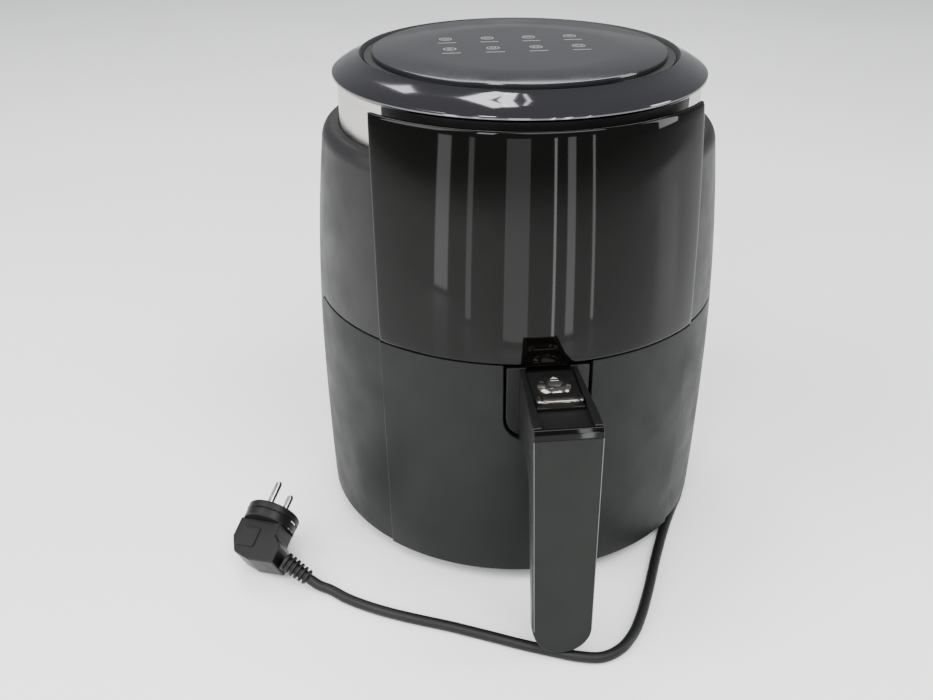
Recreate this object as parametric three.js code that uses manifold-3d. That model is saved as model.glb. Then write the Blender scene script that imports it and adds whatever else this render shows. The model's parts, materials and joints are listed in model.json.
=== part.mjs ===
// Round air fryer with a pull-out drawer, a lift-out basket, its fan and heater, and a mains cord.
// Millimetres, +Z up. The front of the fryer, with the handle, faces -Y.
import * as THREE from 'three';
import { mergeVertices } from 'three/addons/utils/BufferGeometryUtils.js';
import Module from 'manifold-3d';

const wasm = await Module();
wasm.setup();

// ---------------------------------------------------------------- driving dimensions
const AXIS_Y = 34;                 // body axis, so that the handle and the outlet are as far from the origin
const GAP = 0.3;                   // gap between neighbours that touch on the real object
const SIDES = 48;                  // facets of every large outer surface
const INNER_SIDES = 32;            // facets of the turned pieces inside

const TOP_Z = 327;                 // top of the touch panel
const BELLY_R = 139;               // widest radius of the barrel-shaped body
const BELLY_Z = 123;
const TABLE_R = 136.4;             // body radius where the wall would reach the table
const SHOULDER_R = 129;            // body radius where the wall would reach the shoulder's height
const SHOULDER_Z = 283;
const SHELL_WALL = 2.6;
const BODY_BOTTOM_Z = 10;          // height of the feet

const COLLAR_R = 118;              // steel band under the top ring
const RING_R = 121.3;              // top ring, widest
const RING_BOTTOM_Z = 311.6;
const RING_INNER_R = 100.6;
const TOUCH_R = 95;
const TOUCH_Z = 324;               // underside of the touch panel
const BOARD_Z = 317.2;             // underside of the control board

const PANEL_PROUD = 2;             // the gloss panel stands this far out of the body
const PANEL_TOP_Z = 308.7;
const PANEL_TOP_HALF = 100;       // half widths of the gloss panel and of the drawer's centre band
const PANEL_BOTTOM_HALF = 99.6;
const BAND_BOTTOM_HALF = 97;
const BAND_PROUD = 1.4;

const DRAWER_TOP_Z = 168.6;
const SEAM = 1;                    // seam around the drawer front
const WING_Y = -18;                // rear edge of the drawer front's side wings
const WING_CORNER = 14;
const DRAWER_WALL = 3;

const CHAMBER_Y = -8;              // centre of the round pan, its chamber, the heater and the fan
const CHAMBER_HALF = 110;          // half width of the drawer's tunnel
const LINER_BOTTOM_Z = 13.5;
const PAN_R = 104;
const PAN_TOP_Z = 142;
const PAN_BOTTOM_Z = 17;
const BASKET_R = 98;
const BASKET_TOP_Z = 154;
const BASKET_BOTTOM_Z = 28;
const SHEET = 1.2;

const DECK_Z = 171;                // top of the inner housing's deck, over the drawer
const ROOF_R = 105.4;
const ROOF_TOP_Z = 219;
const SHAFT_R = 3;

const OUTLET_HALF = 40;
const OUTLET_LOW = 177;
const OUTLET_HIGH = 241;
const OUTLET_Y = 146;

const NOTCH_HALF = 26.8;           // U-shaped notch at the top of the drawer front
const NOTCH_BOTTOM_Z = 116;
const NOTCH_CORNER = 15;
const BRACKET_FRONT_Y = -137;
const BRACKET_REAR_Y = -120;

const HANDLE_REAR_HALF = 17.6;     // half widths of the handle: at the drawer, at its front and at its foot
const HANDLE_FRONT_HALF = 20.3;
const HANDLE_FOOT_HALF = 18.2;
const HANDLE_TOP = [-202, 163.5];  // y and z of the front plate's upper and lower ends
const HANDLE_FOOT = [-214, 8];
const PLATE_THICK = 2.2;
const RAIL_REAR_Z = 166.6;
const CHANNEL_DEPTH = 4;
const GUARD_FRONT_Y = -178;        // front of the sliding guard when it covers the button
const BUTTON_Y = -154.5;

const CORD_R = 3.5;
const CORD_Z = 3.6;                // height of the cord's centre where it lies on the table
const GLAND_X = 45;
const GLAND_Z = 30;
const SLEEVE_END_Y = 158;

// ---------------------------------------------------------------- materials
const matte = (colour, roughness) => ({ color: colour, roughness, metalness: 0 });
const metal = (colour, roughness) => ({ color: colour, roughness, metalness: 1 });
const CHARCOAL = matte(0x2b2c2e, 0.62);
const DARK_GREY = matte(0x2f3230, 0.58);
const PIANO_BLACK = matte(0x0b0b0c, 0.06);
const BLACK = matte(0x141415, 0.55);
const GUNMETAL = metal(0x56555a, 0.12);
const SMOKE = metal(0x3a3836, 0.14);
const BRUSHED = metal(0xc9c4bc, 0.3);
const BRIGHT = metal(0xd8d8da, 0.18);
const COATED = metal(0x2a2a2c, 0.42);
const GALVANISED = metal(0x9b9fa3, 0.4);
const RUBBER = matte(0x101010, 0.85);
const BOARD_GREEN = matte(0x1f5a34, 0.5);
const GLASS_BLACK = matte(0x2b2c30, 0.08);
const MOTOR_STEEL = metal(0x6f7276, 0.5);

// ---------------------------------------------------------------- helpers
const fryer = new THREE.Group();
fryer.position.y = AXIS_Y;

/** Adds one named piece to the fryer. A piece is a BufferGeometry or a Manifold. */
function add(name, piece, material) {
  const geometry = piece.isBufferGeometry ? piece : toGeometry(piece);
  const mesh = new THREE.Mesh(geometry, new THREE.MeshStandardMaterial(material));
  mesh.name = name;
  fryer.add(mesh);
  return mesh;
}

/** Turns a closed BufferGeometry into a Manifold for cutting and joining. */
function solid(geometry) {
  const bare = geometry.clone();
  bare.deleteAttribute('normal');
  bare.deleteAttribute('uv');
  const merged = mergeVertices(bare, 1e-4);
  const mesh = new wasm.Mesh({
    numProp: 3,
    vertProperties: new Float32Array(merged.attributes.position.array),
    triVerts: new Uint32Array(merged.index.array),
  });
  return new wasm.Manifold(mesh);
}

function toGeometry(manifold) {
  const mesh = manifold.getMesh();
  const geometry = new THREE.BufferGeometry();
  geometry.setAttribute('position', new THREE.BufferAttribute(mesh.vertProperties, 3));
  geometry.setIndex(new THREE.BufferAttribute(mesh.triVerts, 1));
  geometry.computeVertexNormals();
  return geometry;
}

const join = (...pieces) => wasm.Manifold.union(pieces);
const point = (x, y) => new THREE.Vector2(x, y);
const radians = THREE.MathUtils.degToRad;

/** Turns a profile of [radius, z] points about the body's axis, or about x, y if given. */
function turned(profile, sides = SIDES, x = 0, y = 0) {
  const points = profile.map(([r, z]) => point(r, z));
  if (points[0].x > 0) points.push(points[0].clone());
  return new THREE.LatheGeometry(points, sides).rotateX(Math.PI / 2).translate(x, y, 0);
}

/** A ring of square section between two radii and two heights. */
const ring = (inner, outer, low, high, sides = SIDES, x = 0, y = 0) =>
  turned([[inner, low], [outer, low], [outer, high], [inner, high]], sides, x, y);

/** A disc or a straight upright pin. */
const disc = (radius, low, high, sides = SIDES, x = 0, y = 0) =>
  turned([[0, low], [radius, low], [radius, high], [0, high]], sides, x, y);

/** A pin along Y from y0 to y1. */
const pinAlongY = (radius, y0, y1, x, z, sides = 16) =>
  new THREE.CylinderGeometry(radius, radius, y1 - y0, sides).translate(x, (y0 + y1) / 2, z);

/** A box between two corners. */
function box(x0, x1, y0, y1, z0, z1) {
  return new THREE.BoxGeometry(x1 - x0, y1 - y0, z1 - z0)
    .translate((x0 + x1) / 2, (y0 + y1) / 2, (z0 + z1) / 2);
}

/** A closed outline from corner points, each corner rounded by its own radius: [x, y, radius]. */
function outline(corners, steps = 5) {
  const shape = new THREE.Shape();
  corners.forEach(([x, y, radius = 0], i) => {
    const corner = point(x, y);
    const before = corners[(i + corners.length - 1) % corners.length];
    const after = corners[(i + 1) % corners.length];
    const back = point(before[0], before[1]).sub(corner).normalize();
    const on = point(after[0], after[1]).sub(corner).normalize();
    const half = back.angleTo(on) / 2;
    const length = radius / Math.tan(half);
    const start = corner.clone().addScaledVector(back, length);
    const end = corner.clone().addScaledVector(on, length);
    const middle = back.clone().add(on).normalize().multiplyScalar(radius / Math.sin(half)).add(corner);
    const count = radius > 0 ? steps : 0;
    for (let k = 0; k <= count; k++) {
      const spoke = start.clone().sub(middle);
      const turn = signedAngle(spoke, end.clone().sub(middle)) * (count ? k / count : 0);
      const place = radius > 0 ? middle.clone().add(spoke.rotateAround(point(0, 0), turn)) : corner;
      if (i === 0 && k === 0) shape.moveTo(place.x, place.y);
      else shape.lineTo(place.x, place.y);
    }
  });
  shape.closePath();
  return shape;
}

const signedAngle = (a, b) => Math.atan2(a.x * b.y - a.y * b.x, a.dot(b));

const rectangle = (x0, x1, y0, y1, radius = 0) =>
  outline([[x0, y0, radius], [x1, y0, radius], [x1, y1, radius], [x0, y1, radius]]);

const flat = (shape, depth) => new THREE.ExtrudeGeometry(shape, { depth, bevelEnabled: false });

/** Extrudes an outline drawn in x, y upwards from low to high. */
const alongZ = (shape, low, high) => flat(shape, high - low).translate(0, 0, low);

/** Extrudes an outline drawn in y, z sideways from x0 to x1. */
function alongX(shape, x0, x1) {
  const place = new THREE.Matrix4().makeBasis(
    new THREE.Vector3(0, 1, 0), new THREE.Vector3(0, 0, 1), new THREE.Vector3(1, 0, 0));
  return flat(shape, x1 - x0).applyMatrix4(place).translate(x0, 0, 0);
}

/** Extrudes an outline drawn in x, z backwards from y0 to y1. */
const alongY = (shape, y0, y1) => flat(shape, y1 - y0).rotateX(Math.PI / 2).translate(0, y1, 0);

/** A round or flat-sided tube along a curve. */
function tube(curve, radius, sides, steps) {
  const section = new THREE.Shape();
  for (let i = 0; i < sides; i++) {
    const angle = (i + 0.5) / sides * 2 * Math.PI;
    const place = point(radius * Math.cos(angle), radius * Math.sin(angle));
    if (i === 0) section.moveTo(place.x, place.y);
    else section.lineTo(place.x, place.y);
  }
  section.closePath();
  return new THREE.ExtrudeGeometry(section, { steps, extrudePath: curve, bevelEnabled: false });
}

/** Radius of the barrel-shaped body at a height. */
function bodyRadius(z) {
  const above = z > BELLY_Z;
  const end = above ? SHOULDER_R : TABLE_R;
  const reach = above ? SHOULDER_Z - BELLY_Z : BELLY_Z;
  return BELLY_R - (BELLY_R - end) * ((z - BELLY_Z) / reach) ** 2;
}

/** Evenly spaced values from first to last. */
const spread = (first, last, count) =>
  Array.from({ length: count }, (_, i) => first + (last - first) * i / (count - 1));

/** Closed profile of a wall that follows the body, between two offsets from its surface. */
function bodyWall(low, high, inner, outer, rows = 6) {
  const heights = spread(low, high, rows);
  const outside = heights.map((z) => [bodyRadius(z) + outer, z]);
  const inside = heights.map((z) => [bodyRadius(z) + inner, z]).reverse();
  return [...outside, ...inside];
}

/** Solid disc that follows the body's surface at an offset. */
function bodyDisc(low, high, offset, rows = 4) {
  const wall = spread(low, high, rows).map((z) => [bodyRadius(z) + offset, z]);
  return turned([[0, low], ...wall, [0, high]], INNER_SIDES);
}

/** A place on a circle about the body's axis, at an angle from the front towards +X. */
const around = (radius, degrees) =>
  [radius * Math.sin(radians(degrees)), -radius * Math.cos(radians(degrees))];

/** Side view of the drawer front, as a cutter through the whole body, grown by an offset. */
function drawerSideView(offset, low = -5) {
  return alongX(outline([
    [-170, low], [WING_Y + offset, low], [WING_Y + offset, DRAWER_TOP_Z + offset, WING_CORNER],
    [-170, DRAWER_TOP_Z + offset],
  ], 6), -160, 160);
}

/** Front view of the U-shaped notch for the basket's bracket, grown by an offset. */
function notchCutter(offset, y0, y1, high = 180) {
  const half = NOTCH_HALF + offset;
  const low = NOTCH_BOTTOM_Z - offset;
  const corner = NOTCH_CORNER + offset;
  return alongY(outline([[-half, low, corner], [half, low, corner], [half, high], [-half, high]]), y0, y1);
}

// ---------------------------------------------------------------- base, feet and shell
const BASE_TOP_Z = BODY_BOTTOM_Z + 3;
const SCREW_ANGLES = [115, 180, 245];
const SCREW_CIRCLE = 124;

function basePlate() {
  let plate = solid(disc(131, BODY_BOTTOM_Z, BASE_TOP_Z, INNER_SIDES));
  for (const degrees of SCREW_ANGLES) {
    const [x, y] = around(SCREW_CIRCLE, degrees);
    plate = plate.subtract(solid(disc(2.3, 0, 20, 12, x, y)));
    plate = plate.subtract(solid(disc(4.3, 0, BODY_BOTTOM_Z + 1.6, 12, x, y)));
  }
  for (let row = 0; row < 6; row++) {
    const y = -35 + row * 14;
    plate = plate.subtract(solid(box(-32, 32, y, y + 5, 0, 20)));
  }
  return plate;
}

const foot = (x, y) => turned([
  [0, 0], [8.5, 0], [10, 1.5], [11, BODY_BOTTOM_Z - GAP], [0, BODY_BOTTOM_Z - GAP],
], 20, x, y);

/** Screw driven upwards: a pan head below a shank. */
const upwardScrew = (x, y, low, length) => turned([
  [0, low], [3, low], [3.8, low + 0.6], [3.8, low + 1.4], [1.9, low + 1.4], [1.9, low + length], [0, low + length],
], 12, x, y);

/** Screw driven along Y, its head at headY and its tip at tipY. */
function screwAlongY(x, z, headY, tipY) {
  const way = Math.sign(tipY - headY);
  const [headLow, headHigh] = [headY, headY + 2 * way].sort((a, b) => a - b);
  const [low, high] = [headY, tipY].sort((a, b) => a - b);
  return join(solid(pinAlongY(3.5, headLow, headHigh, x, z, 12)), solid(pinAlongY(1.8, low, high, x, z, 12)));
}

function outerShell() {
  const lip = COLLAR_R + 0.4;
  const arcR = 11;
  const arcX = lip + 4;
  const arcZ = SHOULDER_Z - arcR;
  const reach = bodyRadius(arcZ) - arcX;
  const shoulder = spread(0, Math.PI / 2, 5)
    .map((angle) => [arcX + reach * Math.cos(angle), arcZ + arcR * Math.sin(angle)]);
  const flange = BASE_TOP_Z + GAP;
  const heights = [flange, 66, BELLY_Z, 180, 230];
  const outside = heights.map((z) => [bodyRadius(z), z]);
  const inside = heights.slice(1).map((z) => [bodyRadius(z) - SHELL_WALL, z]).reverse();
  let shell = solid(turned([
    [117, flange], ...outside, ...shoulder, [lip, SHOULDER_Z], [lip, SHOULDER_Z - 2.6],
    [arcX, SHOULDER_Z - 3], [bodyRadius(arcZ) - SHELL_WALL - 1.5, arcZ + 3],
    [bodyRadius(arcZ) - SHELL_WALL, arcZ - 4], ...inside,
    [bodyRadius(flange + 3.5) - SHELL_WALL, flange + 3.5], [117, flange + 3.5],
  ]));
  shell = shell.subtract(solid(drawerSideView(SEAM)));
  const columnFeet = solid(bodyDisc(0, flange + 4, -SHELL_WALL)).intersect(solid(box(-150, 150, -150, 5, 0, 60)));
  shell = shell.subtract(columnFeet);
  for (const degrees of SCREW_ANGLES) {
    const [x, y] = around(SCREW_CIRCLE, degrees);
    shell = shell.subtract(solid(disc(2.2, 0, 20, 12, x, y)));
  }
  const outletHole = box(-OUTLET_HALF - GAP, OUTLET_HALF + GAP, 100, 160, OUTLET_LOW - GAP, OUTLET_HIGH + GAP);
  shell = shell.subtract(solid(outletHole));
  return shell.subtract(solid(pinAlongY(7.3, 100, 160, GLAND_X, GLAND_Z, 20)));
}

// ---------------------------------------------------------------- rear air outlet
function airOutlet() {
  let hood = solid(alongY(rectangle(-OUTLET_HALF, OUTLET_HALF, OUTLET_LOW, OUTLET_HIGH, 6), 124, OUTLET_Y));
  hood = hood.subtract(solid(box(-OUTLET_HALF + 2.5, OUTLET_HALF - 2.5, 120, OUTLET_Y - 3,
    OUTLET_LOW + 2.5, OUTLET_HIGH - 2.5)));
  for (let row = 0; row < 7; row++) {
    const z = OUTLET_LOW + 7 + row * 7.6;
    hood = hood.subtract(solid(box(-33, 33, OUTLET_Y - 5, OUTLET_Y + 5, z, z + 4.2)));
  }
  return hood;
}

function exhaustDuct() {
  const outer = solid(box(-32, 32, 80, 123.6, 184, 208));
  const inner = solid(box(-30.8, 30.8, 70, 130, 185.2, 206.8));
  const roof = solid(disc(ROOF_R + GAP, 170, 230, INNER_SIDES, 0, CHAMBER_Y));
  return outer.subtract(inner).subtract(roof);
}

// ---------------------------------------------------------------- drawer's tunnel
const INNER_OFFSET = -6;                        // the inner housing's wall, inside the body's surface

/** Plan of the drawer's tunnel: round at the rear, straight and open to the front. */
function tunnelPlan(half, front) {
  const shape = new THREE.Shape();
  shape.moveTo(-half, front);
  for (const angle of spread(0, Math.PI, 25)) {
    if (angle === 0) shape.lineTo(half, front);
    shape.lineTo(half * Math.cos(angle), CHAMBER_Y + half * Math.sin(angle));
  }
  shape.closePath();
  return shape;
}

/** Side columns and deck that carry the tunnel, seen when the drawer is out. */
function innerHousing() {
  const deckLow = DECK_Z - 3;
  const deck = solid(bodyDisc(deckLow, DECK_Z, INNER_OFFSET));
  const frontHalf = solid(box(-150, 150, -150, 4, 0, 200));
  const tunnel = solid(alongZ(tunnelPlan(CHAMBER_HALF + 1.6, -170), 0, deckLow));
  const hollows = [-1, 1].map((side) => {
    const [x0, x1] = [side * (CHAMBER_HALF + 4.2), side * 160].sort((a, b) => a - b);
    return solid(box(x0, x1, -160, 20, BASE_TOP_Z + 3, deckLow));
  });
  const hollow = join(...hollows).intersect(solid(bodyDisc(0, DECK_Z, INNER_OFFSET - 2.6)));
  const columns = solid(bodyDisc(BASE_TOP_Z + GAP, deckLow + 1, INNER_OFFSET))
    .intersect(frontHalf).subtract(tunnel).subtract(hollow);
  return join(deck, columns).subtract(solid(disc(100.8, 0, 200, INNER_SIDES, 0, CHAMBER_Y)));
}

function chamberLiner() {
  const high = DECK_Z - 3.4;
  const outer = solid(alongZ(tunnelPlan(CHAMBER_HALF + SHEET, -170), LINER_BOTTOM_Z, high));
  const inner = solid(alongZ(tunnelPlan(CHAMBER_HALF, -180), LINER_BOTTOM_Z + SHEET, 200));
  const liner = outer.subtract(inner).intersect(solid(disc(126, 0, 200)));
  return liner.subtract(solid(pinAlongY(2.4, 90, 120, 0, SWITCH_Z, 12)));
}

// ---------------------------------------------------------------- heater, motor and fans
const FAN_Z = 212;                              // underside of the hot-air fan's plate
const MOTOR_Z = ROOF_TOP_Z + 3.2;

function chamberRoof() {
  const inner = ROOF_R - SHEET;
  let roof = solid(turned([
    [inner, DECK_Z + GAP], [ROOF_R + 6, DECK_Z + GAP], [ROOF_R + 6, DECK_Z + GAP + SHEET],
    [ROOF_R, DECK_Z + GAP + SHEET], [ROOF_R, ROOF_TOP_Z - 8], [ROOF_R - 8, ROOF_TOP_Z],
    [9, ROOF_TOP_Z], [9, ROOF_TOP_Z - SHEET], [ROOF_R - 8.5, ROOF_TOP_Z - SHEET],
    [inner, ROOF_TOP_Z - 8.5],
  ], INNER_SIDES, 0, CHAMBER_Y));
  roof = roof.subtract(solid(box(-29, 29, 80, 120, 187, 205)));
  for (const x of ELEMENT_ENDS) roof = roof.subtract(solid(disc(4.2, 200, 230, 12, x, ELEMENT_END_Y)));
  roof = roof.subtract(solid(disc(2.8, 200, 230, 12, ...SENSOR_AT)));
  return roof;
}

const ELEMENT_ENDS = [-14, 14];
const ELEMENT_END_Y = CHAMBER_Y - 87;
const SENSOR_AT = [64, CHAMBER_Y + 62];
const ELEMENT_Z = 181;
const ELEMENT_R = 3.2;

/** Sheathed heating element: a flat spiral whose two ends turn up through the roof. */
function heatingElement() {
  const turns = spread(0, 1, 30).map((part) => {
    const angle = radians(-88 + 732 * part);
    const radius = 84 - 26 * part;
    return new THREE.Vector3(radius * Math.cos(angle), CHAMBER_Y + radius * Math.sin(angle), ELEMENT_Z);
  });
  const riser = (x, heights) => heights.map((z) => new THREE.Vector3(x, ELEMENT_END_Y, z));
  const over = [[-68, 188.5], [-80, 190.5]]
    .map(([y, z]) => new THREE.Vector3(ELEMENT_ENDS[1], CHAMBER_Y + y + 4, z));
  const curve = new THREE.CatmullRomCurve3([
    ...riser(ELEMENT_ENDS[0], [232, 212, 194]),
    ...turns,
    ...over,
    ...riser(ELEMENT_ENDS[1], [200, 214, 232]),
  ], false, 'centripetal');
  return tube(curve, ELEMENT_R, 6, 80);
}

/** A hub with a plate and straight blades that hang below it or stand on it. */
function fan(outer, plateZ, bladeLow, bladeHigh, blades, hubLow, hubHigh) {
  const pieces = [
    solid(ring(SHAFT_R + GAP, outer, plateZ, plateZ + SHEET, 36, 0, CHAMBER_Y)),
    solid(ring(SHAFT_R + GAP, 9, hubLow, hubHigh, 16, 0, CHAMBER_Y)),
  ];
  for (let blade = 0; blade < blades; blade++) {
    const length = outer - 20;
    const shape = new THREE.BoxGeometry(length, SHEET, bladeHigh - bladeLow);
    shape.rotateZ(radians(25)).translate(outer - length / 2 - 5, -6, (bladeLow + bladeHigh) / 2);
    shape.rotateZ(2 * Math.PI * blade / blades).translate(0, CHAMBER_Y, 0);
    pieces.push(solid(shape));
  }
  return join(...pieces).intersect(solid(disc(outer, 0, TOP_Z, 36, 0, CHAMBER_Y)));
}

function motorBracket() {
  const low = ROOF_TOP_Z + GAP;
  const plate = solid(box(-46, 46, CHAMBER_Y - 20, CHAMBER_Y + 20, low, low + 2));
  return plate.subtract(solid(disc(9, 200, 240, 16, 0, CHAMBER_Y)));
}

function motorBody() {
  const high = MOTOR_Z + 34;
  const stack = solid(box(-32, 32, CHAMBER_Y - 28, CHAMBER_Y + 28, MOTOR_Z + 6, MOTOR_Z + 22));
  const bells = solid(disc(24, MOTOR_Z, high, 28, 0, CHAMBER_Y));
  return join(stack, bells).subtract(solid(disc(SHAFT_R + GAP, 200, 300, 16, 0, CHAMBER_Y)));
}

// ---------------------------------------------------------------- top: carrier, ring, touch panel
function topCarrier() {
  const wall = COLLAR_R - 1.5;
  const low = SHOULDER_Z - 5;
  const floor = RING_BOTTOM_Z - 3.4;
  const high = RING_BOTTOM_Z - 0.4;
  let carrier = solid(turned([
    [0, floor], [wall - 2.4, floor], [wall - 2.4, low], [wall, low], [wall, high], [93.5, high],
    [93.5, TOUCH_Z - GAP], [91, TOUCH_Z - GAP], [91, high], [0, high],
  ], INNER_SIDES));
  const posts = [45, 135, 225, 315].flatMap((degrees) => {
    const [x, y] = around(70, degrees);
    return [
      solid(disc(3, high - 1, BOARD_Z - GAP, 10, x, y)),
      solid(disc(3, floor - 9, floor + 1, 10, x * 0.7, y * 0.6)),
    ];
  });
  carrier = join(carrier, ...posts);
  return carrier;
}

const topRing = () => turned([
  [RING_INNER_R + 2.4, RING_BOTTOM_Z], [RING_R - 1.8, RING_BOTTOM_Z], [RING_R - 0.4, RING_BOTTOM_Z + 1.3],
  [RING_R, RING_BOTTOM_Z + 3], [RING_R - 0.5, RING_BOTTOM_Z + 4.5], [RING_R - 2, RING_BOTTOM_Z + 5.9],
  [111, TOP_Z - 5.4], [RING_INNER_R + 1.2, TOP_Z - 1], [RING_INNER_R, TOP_Z - 1.6],
  [RING_INNER_R, TOUCH_Z - 3], [RING_INNER_R + 2.4, TOUCH_Z - 5],
]);

const touchPanel = () => turned([
  [0, TOUCH_Z], [TOUCH_R, TOUCH_Z], [TOUCH_R, TOP_Z - 0.6], [TOUCH_R - 0.8, TOP_Z], [0, TOP_Z],
]);

const grooveSeal = () => turned([
  [93.9, TOUCH_Z - 2.6], [RING_INNER_R - GAP, TOUCH_Z - 2.6], [RING_INNER_R - GAP, TOP_Z - 1.8],
  [TOUCH_R + GAP, TOP_Z - 1.8], [TOUCH_R + GAP, TOUCH_Z - GAP], [93.9, TOUCH_Z - GAP],
]);

function frontPanel() {
  const low = DRAWER_TOP_Z + SEAM;
  const step = SHOULDER_Z - 1;
  const outside = spread(low, PANEL_TOP_Z - 2, 6).map((z) => [bodyRadius(z) + PANEL_PROUD, z]);
  const inside = spread(low, step, 5).map((z) => [bodyRadius(z) + GAP, z]).reverse();
  const top = bodyRadius(PANEL_TOP_Z) + PANEL_PROUD;
  const wall = turned([
    ...outside, [top - 1.9, PANEL_TOP_Z], [top - 3.2, PANEL_TOP_Z],
    [bodyRadius(step) - 1.6, step], ...inside,
  ]);
  const front = alongY(outline([
    [-PANEL_BOTTOM_HALF, low, 2], [PANEL_BOTTOM_HALF, low, 2],
    [PANEL_TOP_HALF, PANEL_TOP_Z + 1, 4], [-PANEL_TOP_HALF, PANEL_TOP_Z + 1, 4],
  ]), -160, -40);
  return solid(wall).intersect(solid(front));
}

// ---------------------------------------------------------------- drawer front and pan
const BOSSES = [[-45, 45], [45, 45], [-52, 135], [52, 135]];
const COVER_R = 125;

/** Depth that a drawer screw reaches: just into the wall of the drawer front. */
const drawerScrewTip = (x, z) => 1 - Math.sqrt((bodyRadius(z) - DRAWER_WALL) ** 2 - x * x);

function drawerFront() {
  const high = DRAWER_TOP_Z;
  const skin = solid(turned([
    ...spread(BODY_BOTTOM_Z, high, 6).map((z) => [bodyRadius(z), z]),
    ...spread(high, BODY_BOTTOM_Z, 4).map((z) => [bodyRadius(z) - DRAWER_WALL, z]),
  ]));
  const side = solid(drawerSideView(0));
  const band = solid(turned(bodyWall(BODY_BOTTOM_Z, high, -1, BAND_PROUD, 6)))
    .intersect(solid(alongY(outline([
      [-BAND_BOTTOM_HALF, BODY_BOTTOM_Z, 2], [BAND_BOTTOM_HALF, BODY_BOTTOM_Z, 2],
      [PANEL_BOTTOM_HALF, high], [-PANEL_BOTTOM_HALF, high],
    ]), -160, -40)));
  const bosses = BOSSES.map(([x, z]) => solid(pinAlongY(4.5, -150, -100, x, z, 12))
    .intersect(solid(bodyDisc(10, 160, -1)))
    .subtract(solid(disc(COVER_R + GAP, 0, 200, INNER_SIDES))));
  const bores = BOSSES.map(([x, z]) => solid(pinAlongY(2, drawerScrewTip(x, z) - 0.5, -100, x, z, 12)));
  return join(skin.intersect(side), band, ...bosses)
    .subtract(join(...bores))
    .subtract(solid(notchCutter(0, -160, -100)));
}

/** Inner cover of the drawer front, towards the pan. */
function drawerCover() {
  const wall = solid(ring(COVER_R - 2.4, COVER_R, 16, DRAWER_TOP_Z - 6, INNER_SIDES));
  const front = solid(alongY(rectangle(-100, 100, 16, DRAWER_TOP_Z - 6, 8), -160, -40));
  const bores = BOSSES.map(([x, z]) => solid(pinAlongY(2.2, -140, -90, x, z, 12)));
  return wall.intersect(front).subtract(join(...bores)).subtract(solid(notchCutter(0, -160, -90)));
}

/** Radius of the pan's outer wall at a height. */
const panRadius = (z) => PAN_R - 5 * (PAN_TOP_Z - z) / (PAN_TOP_Z - PAN_BOTTOM_Z);

const pan = () => turned([
  [0, PAN_BOTTOM_Z], [panRadius(PAN_BOTTOM_Z) - 8, PAN_BOTTOM_Z],
  [panRadius(PAN_BOTTOM_Z) - 2.4, PAN_BOTTOM_Z + 2.4], [panRadius(PAN_BOTTOM_Z + 8), PAN_BOTTOM_Z + 8],
  [PAN_R, PAN_TOP_Z - SHEET], [PAN_R + 2, PAN_TOP_Z - SHEET], [PAN_R + 2, PAN_TOP_Z], [PAN_R - SHEET, PAN_TOP_Z],
  [panRadius(PAN_BOTTOM_Z + 8) - SHEET, PAN_BOTTOM_Z + 8],
  [panRadius(PAN_BOTTOM_Z) - 3.2, PAN_BOTTOM_Z + 3.2], [panRadius(PAN_BOTTOM_Z) - 8.4, PAN_BOTTOM_Z + SHEET],
  [0, PAN_BOTTOM_Z + SHEET],
], INNER_SIDES, 0, CHAMBER_Y);

/** Steel bracket between the pan and the inner cover, with the catch tongue for the basket. */
function panBracket() {
  const low = 64;
  const high = 104;
  const panClearance = turned([
    [0, 10], [panRadius(10) + GAP, 10], [PAN_R + GAP, PAN_TOP_Z - 2], [0, PAN_TOP_Z - 2],
  ], INNER_SIDES, 0, CHAMBER_Y);
  const block = solid(box(-22, 22, -130, -95, low, high))
    .intersect(solid(disc(COVER_R - 2.4 - GAP, 0, 200, INNER_SIDES)))
    .subtract(solid(panClearance));
  const tongue = solid(box(-6.8, 6.8, -116.9, -115.7, high - 2, LEVER_Z + 9));
  const slot = solid(box(-4.6, 4.6, -118, -115, LEVER_Z - 4, LEVER_Z + 5.4));
  return join(block, tongue).subtract(slot);
}

// ---------------------------------------------------------------- basket, bracket and handle
const LEVER_Z = 138;                            // underside of the catch lever

/** Radius of the basket's outer wall at a height. */
const basketRadius = (z) => BASKET_R - 6 * (BASKET_TOP_Z - z) / (BASKET_TOP_Z - BASKET_BOTTOM_Z);

function basket() {
  const low = basketRadius(BASKET_BOTTOM_Z);
  let bowl = solid(turned([
    [0, BASKET_BOTTOM_Z], [low - 6, BASKET_BOTTOM_Z], [low, BASKET_BOTTOM_Z + 6],
    [BASKET_R, BASKET_TOP_Z - 3], [BASKET_R + 1, BASKET_TOP_Z - 2.4], [BASKET_R + 1, BASKET_TOP_Z],
    [BASKET_R - SHEET, BASKET_TOP_Z], [low - SHEET, BASKET_BOTTOM_Z + 6.4],
    [low - 6.4, BASKET_BOTTOM_Z + SHEET], [0, BASKET_BOTTOM_Z + SHEET],
  ], INNER_SIDES, 0, CHAMBER_Y));
  const holes = [];
  [[0, 1], [21, 6], [42, 12], [63, 18]].forEach(([radius, count]) => {
    for (let i = 0; i < count; i++) {
      const [x, y] = around(radius, 360 * i / count);
      holes.push(solid(disc(3.6, 20, 40, 6, x, y + CHAMBER_Y)));
    }
  });
  for (let i = 0; i < 12; i++) {
    const slot = new THREE.BoxGeometry(4, 30, 26).translate(0, -95, 52);
    slot.rotateZ(radians(15 + 30 * i)).translate(0, CHAMBER_Y, 0);
    holes.push(solid(slot));
  }
  bowl = bowl.subtract(join(...holes));
  return bowl;
}

const ARM_SCREWS = [-11, 11];
const ARM_SCREW_Z = 148;

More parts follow.
